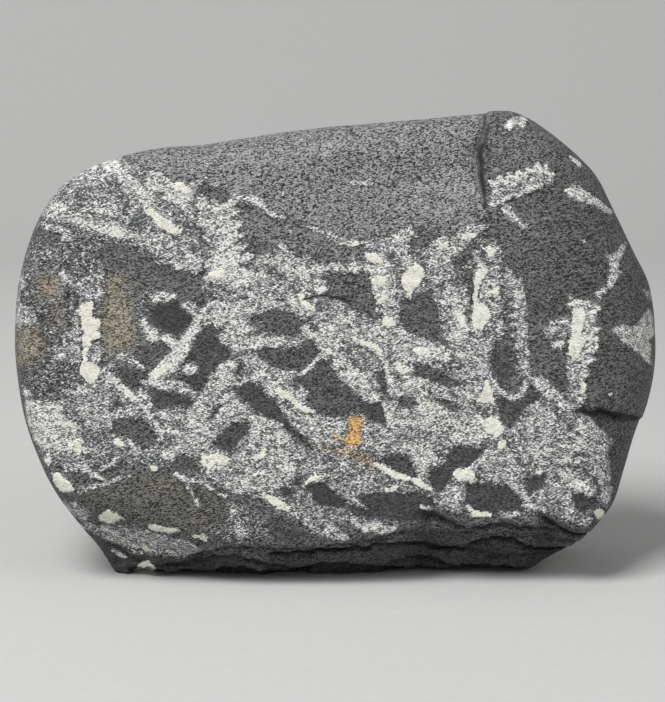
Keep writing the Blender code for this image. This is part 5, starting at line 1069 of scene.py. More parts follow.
def side_swell(place, depth):
    """How far the side stands out, from its place along the outline and its depth: layers, joints, lumps."""
    out = lumps(place, depth, SIDE_LUMPS + SIDE_LAMINAE)
    for number, (start, stand) in enumerate(SIDE_LAYERS):
        layer = np.full_like(place, number)
        past = depth - start * MM - lumps(place, layer, SIDE_WANDER)
        strength = SIDE_STRENGTH_MIDDLE + lumps(place, layer, SIDE_STRENGTH)
        out += stand * strength * MM * smooth(past / SIDE_LAYER_EDGE)
        out -= SIDE_GROOVE * np.exp(-(past / SIDE_LAYER_EDGE)**2)
    return SIDE_BULGE + out


def near(x, y, points, reach):
    """The numbers of the places within reach of a mark's box."""
    p = np.array(points)[:, :2]
    low, high = p.min(0) - reach, p.max(0) + reach
    return np.flatnonzero((x > low[0]) & (x < high[0]) & (y > low[1]) & (y < high[1]))


def in_patch(x, y, corners):
    """Distance inside a patch's outline, negative outside: the nearest side's distance, and a sign from how
    many sides lie to the right."""
    p = np.array(corners, float)
    q = np.roll(p, -1, 0)
    run = q - p
    dx, dy = x[:, None] - p[:, 0], y[:, None] - p[:, 1]
    t = np.clip((dx * run[:, 0] + dy * run[:, 1]) / (run**2).sum(1), 0, 1)
    away = np.hypot(dx - t * run[:, 0], dy - t * run[:, 1]).min(1)
    level = (p[:, 1] > y[:, None]) != (q[:, 1] > y[:, None])
    rise = np.where(run[:, 1] == 0, 1.0, run[:, 1])
    crossings = (level & (dx < dy * run[:, 0] / rise)).sum(1)
    return np.where(crossings % 2 == 1, away, -away)


def in_strand(x, y, centreline):
    """Distance inside a strand of changing width, negative outside: the half width at a point of its
    centreline, less the distance to it, at its best."""
    knots = np.array(centreline, float)
    p, q = knots[:-1, :2], knots[1:, :2]
    run = q - p
    dx, dy = x[:, None] - p[:, 0], y[:, None] - p[:, 1]
    t = np.clip((dx * run[:, 0] + dy * run[:, 1]) / (run**2).sum(1), 0, 1)
    away = np.hypot(dx - t * run[:, 0], dy - t * run[:, 1])
    half_width = knots[:-1, 2] * (1 - t) + knots[1:, 2] * t
    return (half_width - away).max(1)


def draw(x, y, marks, kind):
    """How strong a kind of mark is at each place: each one's share, faded over its edge, and the most of
    them where they overlap."""
    cover = np.zeros_like(x)
    for share, points in marks:
        here = near(x, y, points, NEAR)
        if kind == "strand":
            inside = 1 + (in_strand(x[here], y[here], points) + LINE_WIDENING) / LINE_SOFTNESS
        else:
            softness = FIELD_SOFTNESS if kind == "field" else MARK_SOFTNESS
            inside = 0.5 + in_patch(x[here], y[here], points) / (2 * softness)
        cover[here] = np.maximum(cover[here], share * np.clip(inside, 0, 1))
    return cover


def draw_marks(x, y):
    """The marks at each place on the map, from 0 to 1, all with the same wandering edges. Bare places, the
    olive ground and brown stains cut the film's fields and patches, but not its white patches and strands."""
    x, y = x + lumps(x, y, WANDER), y + lumps(x, y, WANDER_DOWN)
    bare = draw(x, y, BARE_PATCHES, "patch")
    olive = draw(x, y, [(1.0, OLIVE_GROUND)], "field")
    stain = draw(x, y, BROWN_STAINS, "field")
    gone = draw(x, y, [(1.0, points) for _, points in BARE_PATCHES], "patch")
    # the broad fields are partly painted light, paler to the left
    film = np.maximum(draw(x, y, FILM_AND_LIGHT_FIELDS, "field"), draw(x, y, FILM_PATCHES, "patch"))
    film *= (1 - gone) * (1 - olive) * (1 - stain)
    white = np.maximum(draw(x, y, WHITE_PATCHES, "patch"), draw(x, y, STRANDS, "strand"))
    cream = np.maximum(draw(x, y, CREAM_PATCHES, "patch"), draw(x, y, CREAM_STRANDS, "strand"))
    start, full = STREAKED_FROM
    return {"film": np.maximum(film, white), "cream": cream, "bare": bare, "olive": olive, "stain": stain,
            "rust": np.maximum(draw(x, y, RUST_STAINS, "patch"), draw(x, y, RUST_STREAKS, "strand")),
            "crack": draw(x, y, CRACKS_AND_SHADE, "strand"), "hollow": draw(x, y, PALE_GROUND_AND_LIGHT, "patch"),
            "streak": smooth((x - start) / (full - start))}


def ring_of(grid):
    """The grid's rim, counter-clockwise from its first corner."""
    return np.concatenate([grid[0, :-1], grid[:-1, -1], grid[-1, :0:-1], grid[:0:-1, 0]])


def grid_quads(index):
    """The quads of a grid of point numbers."""
    parts = [index[:-1, :-1], index[:-1, 1:], index[1:, 1:], index[1:, :-1]]
    return np.stack([p.reshape(-1) for p in parts], 1)


def face_surface(sheet, distance, radius):
    """The front as (u, w, d), and its marks. d = the bedding face's depth, plus its relief, the foot, the
    hollow, the tongue's step and the worn edge, less what the films stand up."""
    u, w = sheet[..., 0], sheet[..., 1]
    foot, foot_gape_shade = foot_depth(u, w)
    hollow, hollow_gape_shade = hollow_depth(u, w)
    step, step_gape_shade = tongue_depth(u, w)
    depth = FACE_DEPTH + lumps(u, w, FACE_LUMPS) + foot + hollow + step + worn_edge(distance, radius)
    points = np.stack([u, w, depth], -1)

    right, down = on_map(points.reshape(-1, 3))
    marks = {name: value.reshape(u.shape) for name, value in draw_marks(right, down).items()}
    drop = BARE_DROP * marks["bare"] + CRACK_DROP * marks["crack"]
    # the joints' gapes join the cracks here as painted shade
    marks["crack"] = np.max([marks["crack"], foot_gape_shade, hollow_gape_shade, step_gape_shade], 0).clip(0, 1)
    # the foot's mark is painted shade, darker the deeper the foot is undercut
    start, full = FOOT_SHADE_FROM
    marks["foot"] = smooth((foot / MM - start) / (full - start))
    relief = lumps(u, w, FACE_GRAIN) + marks["streak"] * lumps(u, w, STREAK_GRAIN)
    relief += drop - FILM_RISE * marks["film"] - CREAM_RISE * marks["cream"]
    points[..., 2] += relief * smooth(distance / RELIEF_FADE)
    return points, marks


def slab_surface(columns, rows):
    """The slab's points in the face frame (u, w, d), its faces, how many of them are the front's, and its
    marks. The front is a fine sheet; coarser side rings run from its rim to the back sheet's."""
    foot, right, top, left, curve = outline_sides(columns, rows)
    sheet = coons_patch(foot, right, top, left)
    distance, radius = to_outline(sheet[..., 0], sheet[..., 1], curve)
    front, marks = face_surface(sheet, distance, radius)

    coarse = sheet[::COARSE, ::COARSE]
    u, w = coarse[..., 0], coarse[..., 1]
    back = np.stack([u, w, back_depth(u, w, distance[::COARSE, ::COARSE], radius[::COARSE, ::COARSE])], -1)

    front_ring, back_ring = ring_of(front)[::COARSE], ring_of(back)
    run = np.roll(front_ring, -1, 0) - np.roll(front_ring, 1, 0)
    outward = np.stack([run[:, 1], -run[:, 0]], 1) / np.hypot(run[:, 0], run[:, 1])[:, None]
    place = np.cumsum(np.hypot(run[:, 0], run[:, 1])) / 2
    rings, fades = [], []
    for row in range(1, SIDE_ROWS):
        share = row / SIDE_ROWS
        ring = front_ring * (1 - share) + back_ring * share
        swell = side_swell(place, ring[:, 2]) * math.sin(math.pi * share) ** SWELL_POWER
        ring[:, :2] += outward * swell[:, None]
        rings.append(ring)
        fades.append(1 - smooth((ring[:, 2] - front_ring[:, 2]) / RIM_FADE))

    points = np.concatenate([front.reshape(-1, 3), *rings, back.reshape(-1, 3)])
    index = np.arange(front[..., 0].size).reshape(front.shape[:2])
    behind = index.size + len(front_ring) * (SIDE_ROWS - 1) + np.arange(u.size).reshape(u.shape)
    rim = ring_of(index)
    loops = [index.size + k * len(front_ring) + np.arange(len(front_ring)) for k in range(SIDE_ROWS - 1)]
    loops.append(ring_of(behind))
    faces = grid_quads(index).tolist()
    front_count = len(faces)
    faces += stitch(rim, loops[0])
    for near_loop, far_loop in zip(loops, loops[1:]):
        after_near, after_far = np.roll(near_loop, -1), np.roll(far_loop, -1)
        faces += np.stack([near_loop, far_loop, after_far, after_near], 1).tolist()
    faces += grid_quads(behind)[:, ::-1].tolist()

    whole = {}
    for name, value in marks.items():
        rim_value = ring_of(value)[::COARSE]
        sides = [rim_value * fade for fade in fades]
        whole[name] = np.concatenate([value.reshape(-1), *sides, np.zeros(u.size)])
    return points, faces, front_count, whole


def stitch(fine, coarse):
    """Triangles from a fine loop to a coarse one, three fine steps to each coarse one: the fans are laid out
    for COARSE = 3."""
    start = np.arange(len(coarse)) * COARSE
    a, b, c, d = (fine[(start + k) % len(fine)] for k in range(COARSE + 1))
    near_end, far_end = coarse, np.roll(coarse, -1)
    fans = [(a, near_end, b), (b, near_end, c), (c, near_end, far_end), (c, far_end, d)]
    return np.concatenate([np.stack(fan, 1) for fan in fans]).tolist()


def stand_up(points):
    """Face frame to world: the face leans back, the foot is cut flat at z = 0, and the middle of what shows
    is set over the solid's middle. Also how far it was moved, along x and y."""
    u, w, d = points.T
    y = w * math.sin(LEAN) + d * math.cos(LEAN)
    z = w * math.cos(LEAN) - (d - FOOT_DEPTH) * math.sin(LEAN)
    world = np.stack([u, y, z], 1)
    shown = world[world[:, 2] >= 0]
    middle = (shown.min(0) + shown.max(0)) / 2
    low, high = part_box(NODE)
    offset = np.array([(low[k] + high[k]) / 2 - middle[k] for k in range(2)])
    world[:, :2] += offset
    world[:, 2] = np.maximum(world[:, 2], 0)
    return world, offset


def add_node(tree, kind, inputs=None, **settings):
    """A node of a kind with its settings, each input given a value or joined to another node's output."""
    made = tree.nodes.new(kind)
    for name, value in settings.items():
        setattr(made, name, value)
    for name, value in (inputs or {}).items():
        if isinstance(value, bpy.types.NodeSocket):
            tree.links.new(value, made.inputs[name])
        else:
            made.inputs[name].default_value = value
    return made


def reckon(tree, operation, first, second):
    """The output of a Math node."""
    return add_node(tree, "ShaderNodeMath", {0: first, 1: second}, operation=operation).outputs[0]


def scaled(tree, value, by):
    """A value times another."""
    return reckon(tree, "MULTIPLY", value, by)


def opaque(colour):
    """A colour with its alpha."""
    return (*colour, 1)


def eased(tree, value, low, high):
    """0 below low, 1 above high, and eased between."""
    inputs = {"Value": value, "From Min": low, "From Max": high}
    return add_node(tree, "ShaderNodeMapRange", inputs, interpolation_type="SMOOTHSTEP").outputs[0]


def mixed(tree, share, first, second):
    """Two colours mixed by a share."""
    inputs = {"Factor": share, 6: first, 7: second}
    return add_node(tree, "ShaderNodeMix", inputs, data_type="RGBA").outputs[2]


def speckle(tree, vector, scale, detail, roughness):
    """Fractal noise about 0.5, with scale blobs to the metre."""
    inputs = {"Vector": vector, "Scale": scale, "Detail": detail, "Roughness": roughness}
    return add_node(tree, "ShaderNodeTexNoise", inputs, noise_dimensions="3D").outputs[0]


def mark_of(tree, name):
    """One of the marks that the surface carries, 0 to 1."""
    return add_node(tree, "ShaderNodeAttribute", attribute_name=name).outputs["Fac"]


def leaned(tree, lengths, rise=None):
    """Object coordinates turned into the face frame: the second axis runs back through the beds, and the
    first rises to the right by an angle. What is drawn on them is lengths times as long on each axis."""
    place = add_node(tree, "ShaderNodeTexCoord").outputs["Object"]
    turn = (-LEAN, -(GRAIN_RISE if rise is None else rise), 0.0)
    inputs = {"Vector": place, "Rotation": turn, "Scale": lengths}
    return add_node(tree, "ShaderNodeMapping", inputs, vector_type="TEXTURE").outputs[0]


def drawn_out(tree, noise, rise=None):
    """A noise of (lengths, scale, detail, roughness), on the face frame."""
    lengths, *settings = noise
    return speckle(tree, leaned(tree, lengths, rise), *settings)


def grains(tree, cells):
    """Grains of (lengths, scale), on the face frame, that each have their own even shade, 0 to 1."""
    lengths, scale = cells
    inputs = {"Vector": leaned(tree, lengths), "Scale": scale}
    made = add_node(tree, "ShaderNodeTexVoronoi", inputs, voronoi_dimensions="3D", feature="F1")
    return add_node(tree, "ShaderNodeSeparateColor", {"Color": made.outputs["Color"]}).outputs[0]


def swung(tree, value, amount):
    """A value that swings about MIDDLE as an amount that swings about 0."""
    return scaled(tree, reckon(tree, "SUBTRACT", value, MIDDLE), amount)


def added(tree, *values):
    """The sum of the values."""
    total = values[0]
    for value in values[1:]:
        total = reckon(tree, "ADD", total, value)
    return total


def fibres(tree, rise):
    """Thin curling threads of film that run one way: the level lines of noise drawn out along it."""
    away = reckon(tree, "ABSOLUTE", swung(tree, drawn_out(tree, FIBRES, rise), 1.0), 0.0)
    return eased(tree, away, FIBRE_WIDTH, 0.0)


def new_group(name, inputs, outputs):
    """An empty shader group with named sockets, as (name, kind, default), and its two end nodes."""
    group = bpy.data.node_groups.new(name, "ShaderNodeTree")
    for label, kind, default in inputs:
        socket = group.interface.new_socket(label, in_out="INPUT", socket_type=kind)
        socket.default_value = default
    for label, kind in outputs:
        group.interface.new_socket(label, in_out="OUTPUT", socket_type=kind)
    start, end = group.nodes.new("NodeGroupInput"), group.nodes.new("NodeGroupOutput")
    return group, start, end


def shale_grain_group():
    """Shale's grain, for every face of the slab: small long grains over a slow mottle, from a dark colour to
    a pale one, with odd bright flecks of mica. Grain, Fine and Mottle are the noises that it is made of."""
    inputs = [("Dark", COLOUR, (0.02, 0.02, 0.02, 1)), ("Pale", COLOUR, (0.2, 0.2, 0.2, 1)),
              ("Speck", COLOUR, (0.5, 0.5, 0.5, 1))]
    outputs = [("Colour", COLOUR), ("Grain", VALUE), ("Fine", VALUE), ("Mottle", VALUE)]
    group, start, end = new_group("shale_grain", inputs, outputs)
    cells = grains(group, CELLS)
    soft = drawn_out(group, SOFT_GRAIN)
    mottle = drawn_out(group, MOTTLE)
    fine = grains(group, FINE_CELLS)
    grain = added(group, MIDDLE, swung(group, cells, GRAIN_CELLS), swung(group, soft, GRAIN_SOFT))
    level = added(group, grain, swung(group, mottle, SHALE_MOTTLE), swung(group, fine, SHALE_FINE))
    paleness = eased(group, level, GRAIN_LOW, GRAIN_HIGH)
    colour = mixed(group, paleness, start.outputs["Dark"], start.outputs["Pale"])
    flecks = scaled(group, eased(group, drawn_out(group, FLECKS), *FLECKS_FROM), cells)
    colour = mixed(group, flecks, colour, start.outputs["Speck"])
    for name, value in (("Colour", colour), ("Grain", grain), ("Fine", fine), ("Mottle", mottle)):
        group.links.new(value, end.inputs[name])
    return group


def bed_lines_group():
    """The edges of the beds where a side cuts across them: noise stretched along the beds and fine across
    them. Lines runs from 0, a dark parting, to 1, a pale bed."""
    group, _, end = new_group("bed_lines", [], [("Lines", VALUE)])
    fine = drawn_out(group, FINE_BEDS)
    broad = drawn_out(group, BROAD_BEDS)
    lines = added(group, scaled(group, fine, FINE_BED_SHARE), scaled(group, broad, BROAD_BED_SHARE))
    group.links.new(eased(group, lines, *BEDS_FROM), end.inputs["Lines"])
    return group


def new_material(name, colour):
    """A material with a Principled BSDF, and the colour that the viewport shows."""
    material = bpy.data.materials.new(name)
    material.use_nodes = True
    material.diffuse_color = opaque(colour)
    return material, material.node_tree, material.node_tree.nodes["Principled BSDF"]


def grained(tree, looks, groups):
    """The shale_grain group with the shale's colours."""
    colours = {"Dark": opaque(looks.shale_dark), "Pale": opaque(looks.shale), "Speck": opaque(looks.mica)}
    return add_node(tree, "ShaderNodeGroup", colours, node_tree=groups["grain"]).outputs


def toned(tree, share, colour, grain, dark, pale):
    """A colour with a share of it taken over by grains that run from a dark colour to a pale one."""
    shade = mixed(tree, eased(tree, grain, GRAIN_LOW, GRAIN_HIGH), opaque(dark), opaque(pale))
    return mixed(tree, share, colour, shade)


def join_shader(tree, shader, colour, rough, height, looks):
    """Joins a colour, a roughness and the height of a bump to the shader."""
    inputs = {"Height": height, "Strength": BUMP_STRENGTH, "Distance": looks.bump}
    bump = add_node(tree, "ShaderNodeBump", inputs)
    tree.links.new(colour, shader.inputs["Base Color"])
    tree.links.new(rough, shader.inputs["Roughness"])
    tree.links.new(bump.outputs["Normal"], shader.inputs["Normal"])


def face_noises(tree, ground):
    """The noises that the face's layers share. The two that add fine grain to the soft one are for the shale
    and for the films."""
    soft, fine = ground["Grain"], ground["Fine"]
    return {
        "soft": soft,
        "fine": fine,
        "mottle": ground["Mottle"],
        "grain": added(tree, soft, swung(tree, fine, FACE_FINE)),
        "film_grain": added(tree, soft, swung(tree, fine, FILM_FINE)),
        "flakes": drawn_out(tree, FLAKES),
        "clouds": drawn_out(tree, CLOUDS),
        "threads": reckon(tree, "MAXIMUM", *(fibres(tree, rise) for rise in FIBRE_RISES)),
    }


def stained(tree, looks, colour, noises, hollow):
    """The shale's colour under the films: pale in the hollow, partly painted light from above, streaked on
    the right, with the olive ground and brown stains, dark where a film is gone, and painted shade down the
    broken foot."""
    grain = noises["grain"]
    # the hollow's paleness is partly its clean shale, partly painted light from above
    colour = toned(tree, scaled(tree, hollow, HOLLOW_AND_LIGHT_COVER), colour, grain, looks.hollow_dark, looks.hollow)
    streaks = added(tree, drawn_out(tree, STREAKS), swung(tree, grain, STREAK_EDGE_GRAIN))
    streaks = eased(tree, streaks, *STREAK_PALE_FROM)
    streaked = mixed(tree, streaks, opaque(looks.shale_dark), opaque(looks.streak))
    colour = mixed(tree, scaled(tree, mark_of(tree, "streak"), STREAK_COVER), colour, streaked)
    olive = scaled(tree, mark_of(tree, "olive"), OLIVE_COVER)
    colour = toned(tree, olive, colour, grain, looks.shale_dark, looks.olive)
    stain = scaled(tree, mark_of(tree, "stain"), eased(tree, noises["clouds"], *STAIN_FROM))
    colour = toned(tree, stain, colour, grain, looks.brown_dark, looks.brown)
    bare = scaled(tree, mark_of(tree, "bare"), BARE_COVER)
    colour = toned(tree, bare, colour, grain, looks.carbon, looks.bare)
    # painted shade down the undercut foot
    foot = scaled(tree, mark_of(tree, "foot"), FOOT_SHADE_COVER)
    return toned(tree, foot, colour, grain, looks.carbon, looks.foot)


def filmed(tree, looks, colour, noises):
    """A colour with the films over it, from shadow to silver to white, and how far they cover it."""
    film = mark_of(tree, "film")
    cover = eased(tree, added(tree, film, swung(tree, noises["grain"], FILM_EDGE_GRAIN)), *FILM_FROM)
    swings = [swung(tree, noises[name], share) for name, share in FILM_SHARES.items()]
    level = added(tree, film, *swings, THREAD_LIFT)
    silver = eased(tree, level, *SILVER_FROM)
    film_colour = mixed(tree, silver, opaque(looks.film_shadow), opaque(looks.silver))
    film_colour = mixed(tree, eased(tree, level, *WHITE_FROM), film_colour, opaque(looks.white))
    return mixed(tree, cover, colour, film_colour), cover


def flaked(tree, looks, colour, noises):
    """A colour with the cream flakes over it, broken at their edges, and how far they cover it."""
    cream, flakes = mark_of(tree, "cream"), noises["flakes"]
    grain = swung(tree, noises["grain"], CREAM_EDGE_GRAIN)
    broken = added(tree, cream, grain, swung(tree, flakes, CREAM_EDGE_FLAKES))
    cover = scaled(tree, eased(tree, broken, *CREAM_FROM), eased(tree, cream, *CREAM_MARK_FROM))
    fine = swung(tree, noises["fine"], CREAM_FINE)
    shade = added(tree, noises["soft"], fine, swung(tree, flakes, CREAM_FLAKES))
    shade = eased(tree, shade, *CREAM_PALE_FROM)
    cream_colour = mixed(tree, shade, opaque(looks.cream_dark), opaque(looks.cream))
    return mixed(tree, cover, colour, cream_colour), cover


def rusted(tree, looks, colour, noises):
    """A colour with the orange stain over it."""
    rust, grain = mark_of(tree, "rust"), noises["grain"]
    level = added(tree, rust, swung(tree, grain, RUST_EDGE_GRAIN))
    shade = added(tree, grain, swung(tree, noises["flakes"], RUST_FLAKES))
    shade = eased(tree, shade, *RUST_PALE_FROM)
    rust_colour = mixed(tree, shade, opaque(looks.rust_dark), opaque(looks.rust))
    return mixed(tree, scaled(tree, eased(tree, level, *RUST_FROM), rust), colour, rust_colour)


def face_material(looks, groups):
    """The bedding face: stained shale under films and cream flakes, which are whole where their mark is high
    and break into specks towards their edges, with the orange stain, the cracks and the joints' painted shade
    over them."""
    material, tree, shader = new_material("fossil_face", looks.shale)
    ground = grained(tree, looks, groups)
    noises = face_noises(tree, ground)
    hollow = mark_of(tree, "hollow")
    colour = stained(tree, looks, ground["Colour"], noises, hollow)
    colour, film_cover = filmed(tree, looks, colour, noises)
    colour, cream_cover = flaked(tree, looks, colour, noises)
    colour = rusted(tree, looks, colour, noises)
    # cracks, and painted shade in the open joints and along the hollow's step
    crack = eased(tree, mark_of(tree, "crack"), *CRACK_AND_SHADE_FROM)
    colour = mixed(tree, crack, colour, opaque(looks.crack))

    rough = reckon(tree, "SUBTRACT", FACE_ROUGHNESS, scaled(tree, film_cover, FILM_SMOOTHER))
    rough = reckon(tree, "SUBTRACT", rough, scaled(tree, hollow, HOLLOW_SMOOTHER))
    relief = (scaled(tree, film_cover, FILM_BUMP), scaled(tree, cream_cover, CREAM_BUMP))
    join_shader(tree, shader, colour, rough, added(tree, noises["grain"], *relief), looks)
    return material


def side_material(looks, groups):
    """The sides and the back: the same grained shale, cut across its beds on the sides, with brown weathering
    in broad patches."""
    material, tree, shader = new_material("split_shale", looks.shale)
    ground = grained(tree, looks, groups)
    lines = add_node(tree, "ShaderNodeGroup", node_tree=groups["lines"]).outputs["Lines"]
    lined = mixed(tree, lines, opaque(looks.shale_dark), opaque(looks.streak))
    colour = mixed(tree, BEDS_COVER, ground["Colour"], lined)
    weather = scaled(tree, eased(tree, drawn_out(tree, WEATHER), *WEATHER_FROM), WEATHER_COVER)
    colour = toned(tree, weather, colour, ground["Grain"], looks.brown_dark, looks.brown)
    film = eased(tree, mark_of(tree, "film"), *SIDE_FILM_FROM)
    film_specks = scaled(tree, film, eased(tree, ground["Grain"], *SIDE_SPECKS_FROM))
    colour = mixed(tree, film_specks, colour, opaque(looks.silver))
    height = added(tree, ground["Grain"], scaled(tree, lines, BEDS_BUMP))
    rough = reckon(tree, "SUBTRACT", SIDE_ROUGHNESS, scaled(tree, ground["Mottle"], MOTTLE_SMOOTHER))
    join_shader(tree, shader, colour, rough, height, looks)
    return material


def paper_material(colour):
    """The stage's matt paper."""
    material, tree, shader = new_material("pale_paper", colour)
    fibre = speckle(tree, add_node(tree, "ShaderNodeTexCoord").outputs["Object"], *PAPER_FIBRE)
    darker = [PAPER_SHADE * channel for channel in colour]
    shade = mixed(tree, eased(tree, fibre, *PAPER_FROM), opaque(darker), opaque(colour))
    tree.links.new(shade, shader.inputs["Base Color"])
    shader.inputs["Roughness"].default_value = PAPER_ROUGHNESS
    return material


def new_mesh(name, points, faces):
    """A mesh with smooth shading."""
    mesh = bpy.data.meshes.new(name)
    mesh.from_pydata(points.tolist(), [], faces)
    mesh.update()
    mesh.shade_smooth()
    return mesh


def new_object(name, data):
    """An object that shows a mesh, a light or a camera in the scene."""
    made = bpy.data.objects.new(name, data)
    bpy.context.scene.collection.objects.link(made)
    return made


def colour_property(name, value, description):
    """A colour that the user can change."""
    return FloatVectorProperty(name=name, description=description, default=value, subtype="COLOR", size=3,
                               min=0.0, max=1.0)


class PlateShape(bpy.types.PropertyGroup):
    face_columns: IntProperty(
        name="Face Columns", description="How many columns of faces the front has; a multiple of three",
        default=318, min=60, max=600)
    face_rows: IntProperty(
        name="Face Rows", description="How many rows of faces the front has; a multiple of three",
        default=234, min=60, max=450)


class PlateLooks(bpy.types.PropertyGroup):
    shale: colour_property("Shale", (0.198, 0.199, 0.195), "The pale grains of the shale")
    shale_dark: colour_property("Shale Dark", (0.002, 0.002, 0.002), "The dark grains of the shale")
    mica: colour_property("Mica", (0.62, 0.62, 0.60), "Odd bright specks")
    # the hollow's pale grains are partly painted light from above
    hollow: colour_property("Hollow", (0.415, 0.417, 0.412), "The pale grains of the clean spalled hollow")
    hollow_dark: colour_property("Hollow Dark", (0.002, 0.002, 0.002), "The dark grains of the hollow")
    streak: colour_property("Streak", (0.155, 0.156, 0.151), "Pale bed edges on the right and the sides")
    olive: colour_property("Olive", (0.170, 0.167, 0.133), "The bare olive ground at the lower left")
    carbon: colour_property("Carbon", (0.010, 0.010, 0.011), "The darkest places, where the film is gone")
    bare: colour_property("Bare", (0.058, 0.058, 0.058), "The pale grains where the film is gone")
    # the foot's grains under its painted shade
    foot: colour_property("Foot", (0.075, 0.073, 0.069), "The pale grains of the broken foot")
    # crack colour: cracks, and painted shade in open joints and at the hollow's step
    crack: colour_property("Crack", (0.006, 0.006, 0.006), "Inside cracks and open joints")
    brown: colour_property("Brown", (0.470, 0.415, 0.305), "The pale grains of the brown stains")
    brown_dark: colour_property("Brown Dark", (0.045, 0.036, 0.026), "The dark grains of the brown stains")
    silver: colour_property("Silver", (0.318, 0.330, 0.334), "Thin bluish film")
    white: colour_property("White", (0.880, 0.882, 0.840), "Whole film")
    film_shadow: colour_property("Film Shadow", (0.045, 0.046, 0.047), "The shale between a film's specks")
    cream: colour_property("Cream", (0.900, 0.890, 0.790), "The thickest flakes")
    cream_dark: colour_property("Cream Dark", (0.420, 0.415, 0.350), "Thinner places in the flakes")
    rust: colour_property("Rust", (0.880, 0.550, 0.205), "The orange stain")
    rust_dark: colour_property("Rust Dark", (0.340, 0.190, 0.070), "Its darker grains")
    bump: FloatProperty(
        name="Bump", description="How far the grains stand up", default=0.00006, subtype="DISTANCE",
        unit="LENGTH", precision=6)


class PlateStage(bpy.types.PropertyGroup):
    paper: colour_property("Paper", (0.55, 0.55, 0.545), "The floor and backdrop")
    key_power: FloatProperty(name="Key Light", description="Power of the main light, above left", default=4.3,
                             subtype="POWER", unit="POWER")
    fill_power: FloatProperty(name="Fill Light", description="Power of the light from the right", default=0.7,
                              subtype="POWER", unit="POWER")
    sky: FloatProperty(name="Sky", description="Strength of the even light all round", default=0.26)


class PLATE_OT_slab(bpy.types.Operator):
    """Builds the slab of shale with its fossil films in place of the plain solid"""

    bl_idname = "plate.slab"
    bl_label = "Slab"

    def execute(self, context):
        shape, looks = context.scene.plate_shape, context.scene.plate_looks
        points, faces, front_count, marks = slab_surface(shape.face_columns, shape.face_rows)
        world, offset = stand_up(points)
        mesh = new_mesh("shale_slab", world, faces)
        for name, value in marks.items():
            layer = mesh.attributes.new(name, "FLOAT", "POINT")
            layer.data.foreach_set("value", value.astype(np.float32))
        groups = {"grain": shale_grain_group(), "lines": bed_lines_group()}
        mesh.materials.append(face_material(looks, groups))
        mesh.materials.append(side_material(looks, groups))
        slots = np.ones(len(mesh.polygons), np.int32)
        slots[:front_count] = 0
        mesh.polygons.foreach_set("material_index", slots)

        slab = new_object("shale_slab", mesh)
        slab["face_offset"] = offset.tolist()
        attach(slab, "root")
        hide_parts(NODE)
        return {"FINISHED"}


def sweep_surface():
    """The floor and backdrop: a profile carried sideways. It runs back flat, turns up a quarter circle, and
    goes on up."""
    turn = np.linspace(0, math.pi / 2, SWEEP_STEPS)
    y = np.concatenate([[FLOOR_FRONT], FLOOR_BACK + SWEEP_RADIUS * np.sin(turn), [FLOOR_BACK + SWEEP_RADIUS]])
    z = np.concatenate([[0.0], SWEEP_RADIUS * (1 - np.cos(turn)), [WALL_TOP]]) - GAP_TO_FLOOR
    x = np.array([-FLOOR_HALF, FLOOR_HALF])
    grid = np.stack(np.broadcast_arrays(x[None, :], y[:, None], z[:, None]), -1)
    return grid.reshape(-1, 3), grid_quads(np.arange(grid.shape[0] * 2).reshape(-1, 2))


def add_light(name, place, size, power):
    """A square area light that shines at the slab."""
    light = bpy.data.lights.new(name, "AREA")
    light.size, light.energy = size, power
    lamp = new_object(name, light)
    lamp.location = place
    lamp.rotation_euler = (Vector(LIGHT_AIM) - Vector(place)).to_track_quat("-Z", "Y").to_euler()


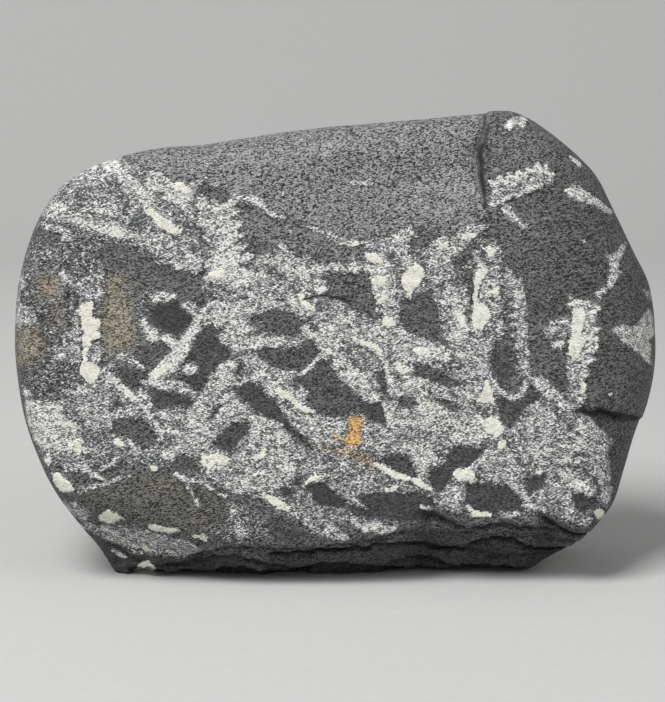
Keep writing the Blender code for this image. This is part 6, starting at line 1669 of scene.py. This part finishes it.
class PLATE_OT_stage(bpy.types.Operator):
    """Sets the pale floor, the soft lights and the camera square to the face"""

    bl_idname = "plate.stage"
    bl_label = "Stage"

    def execute(self, context):
        stage = context.scene.plate_stage
        points, faces = sweep_surface()
        mesh = new_mesh("floor", points, faces.tolist())
        mesh.materials.append(paper_material(stage.paper))
        floor = new_object("floor", mesh)

        add_light("key_light", KEY_PLACE, KEY_SIZE, stage.key_power)
        add_light("fill_light", FILL_PLACE, FILL_SIZE, stage.fill_power)
        sky = bpy.data.worlds.new("sky")
        sky.use_nodes = True
        sky.node_tree.nodes["Background"].inputs["Color"].default_value = (1, 1, 1, 1)
        sky.node_tree.nodes["Background"].inputs["Strength"].default_value = stage.sky
        context.scene.world = sky
        context.scene.view_settings.view_transform = "Standard"

        right, back = bpy.data.objects["shale_slab"]["face_offset"]
        aim = Vector((right, MAP_MIDDLE_HEIGHT * math.sin(LEAN) + back,
                      MAP_MIDDLE_HEIGHT * math.cos(LEAN) + FOOT_DEPTH * math.sin(LEAN)))
        look = Vector((0.0, math.cos(LEAN), -math.sin(LEAN)))
        view = bpy.data.cameras.new("view")
        view.sensor_width = SENSOR
        view.lens = SENSOR * VIEW_DISTANCE / MAP_SPAN
        view.clip_start = CLIP_START
        camera = new_object("camera", view)
        camera.location = aim - look * VIEW_DISTANCE
        camera.rotation_euler = look.to_track_quat("-Z", "Y").to_euler()
        context.scene.camera = camera
        return {"FINISHED"}


class PLATE_PT_panel(bpy.types.Panel):
    bl_idname = "PLATE_PT_panel"
    bl_label = "Fossil Plate"
    bl_space_type = "VIEW_3D"
    bl_region_type = "UI"
    bl_category = "Fossil Plate"

    def draw(self, context):
        for settings in (context.scene.plate_shape, context.scene.plate_looks, context.scene.plate_stage):
            box = self.layout.box()
            for name in settings.bl_rna.properties.keys():
                if name not in ("rna_type", "name"):
                    box.prop(settings, name)
        for operator in (PLATE_OT_slab, PLATE_OT_stage):
            self.layout.operator(operator.bl_idname)


CLASSES = (PlateShape, PlateLooks, PlateStage, PLATE_OT_slab, PLATE_OT_stage, PLATE_PT_panel)


def register():
    for kind in CLASSES:
        bpy.utils.register_class(kind)
    bpy.types.Scene.plate_shape = PointerProperty(type=PlateShape)
    bpy.types.Scene.plate_looks = PointerProperty(type=PlateLooks)
    bpy.types.Scene.plate_stage = PointerProperty(type=PlateStage)


def unregister():
    del bpy.types.Scene.plate_shape, bpy.types.Scene.plate_looks, bpy.types.Scene.plate_stage
    for kind in reversed(CLASSES):
        bpy.utils.unregister_class(kind)


def main():
    register()
    bpy.ops.plate.slab()
    bpy.ops.plate.stage()


if __name__ == "__main__":
    main()
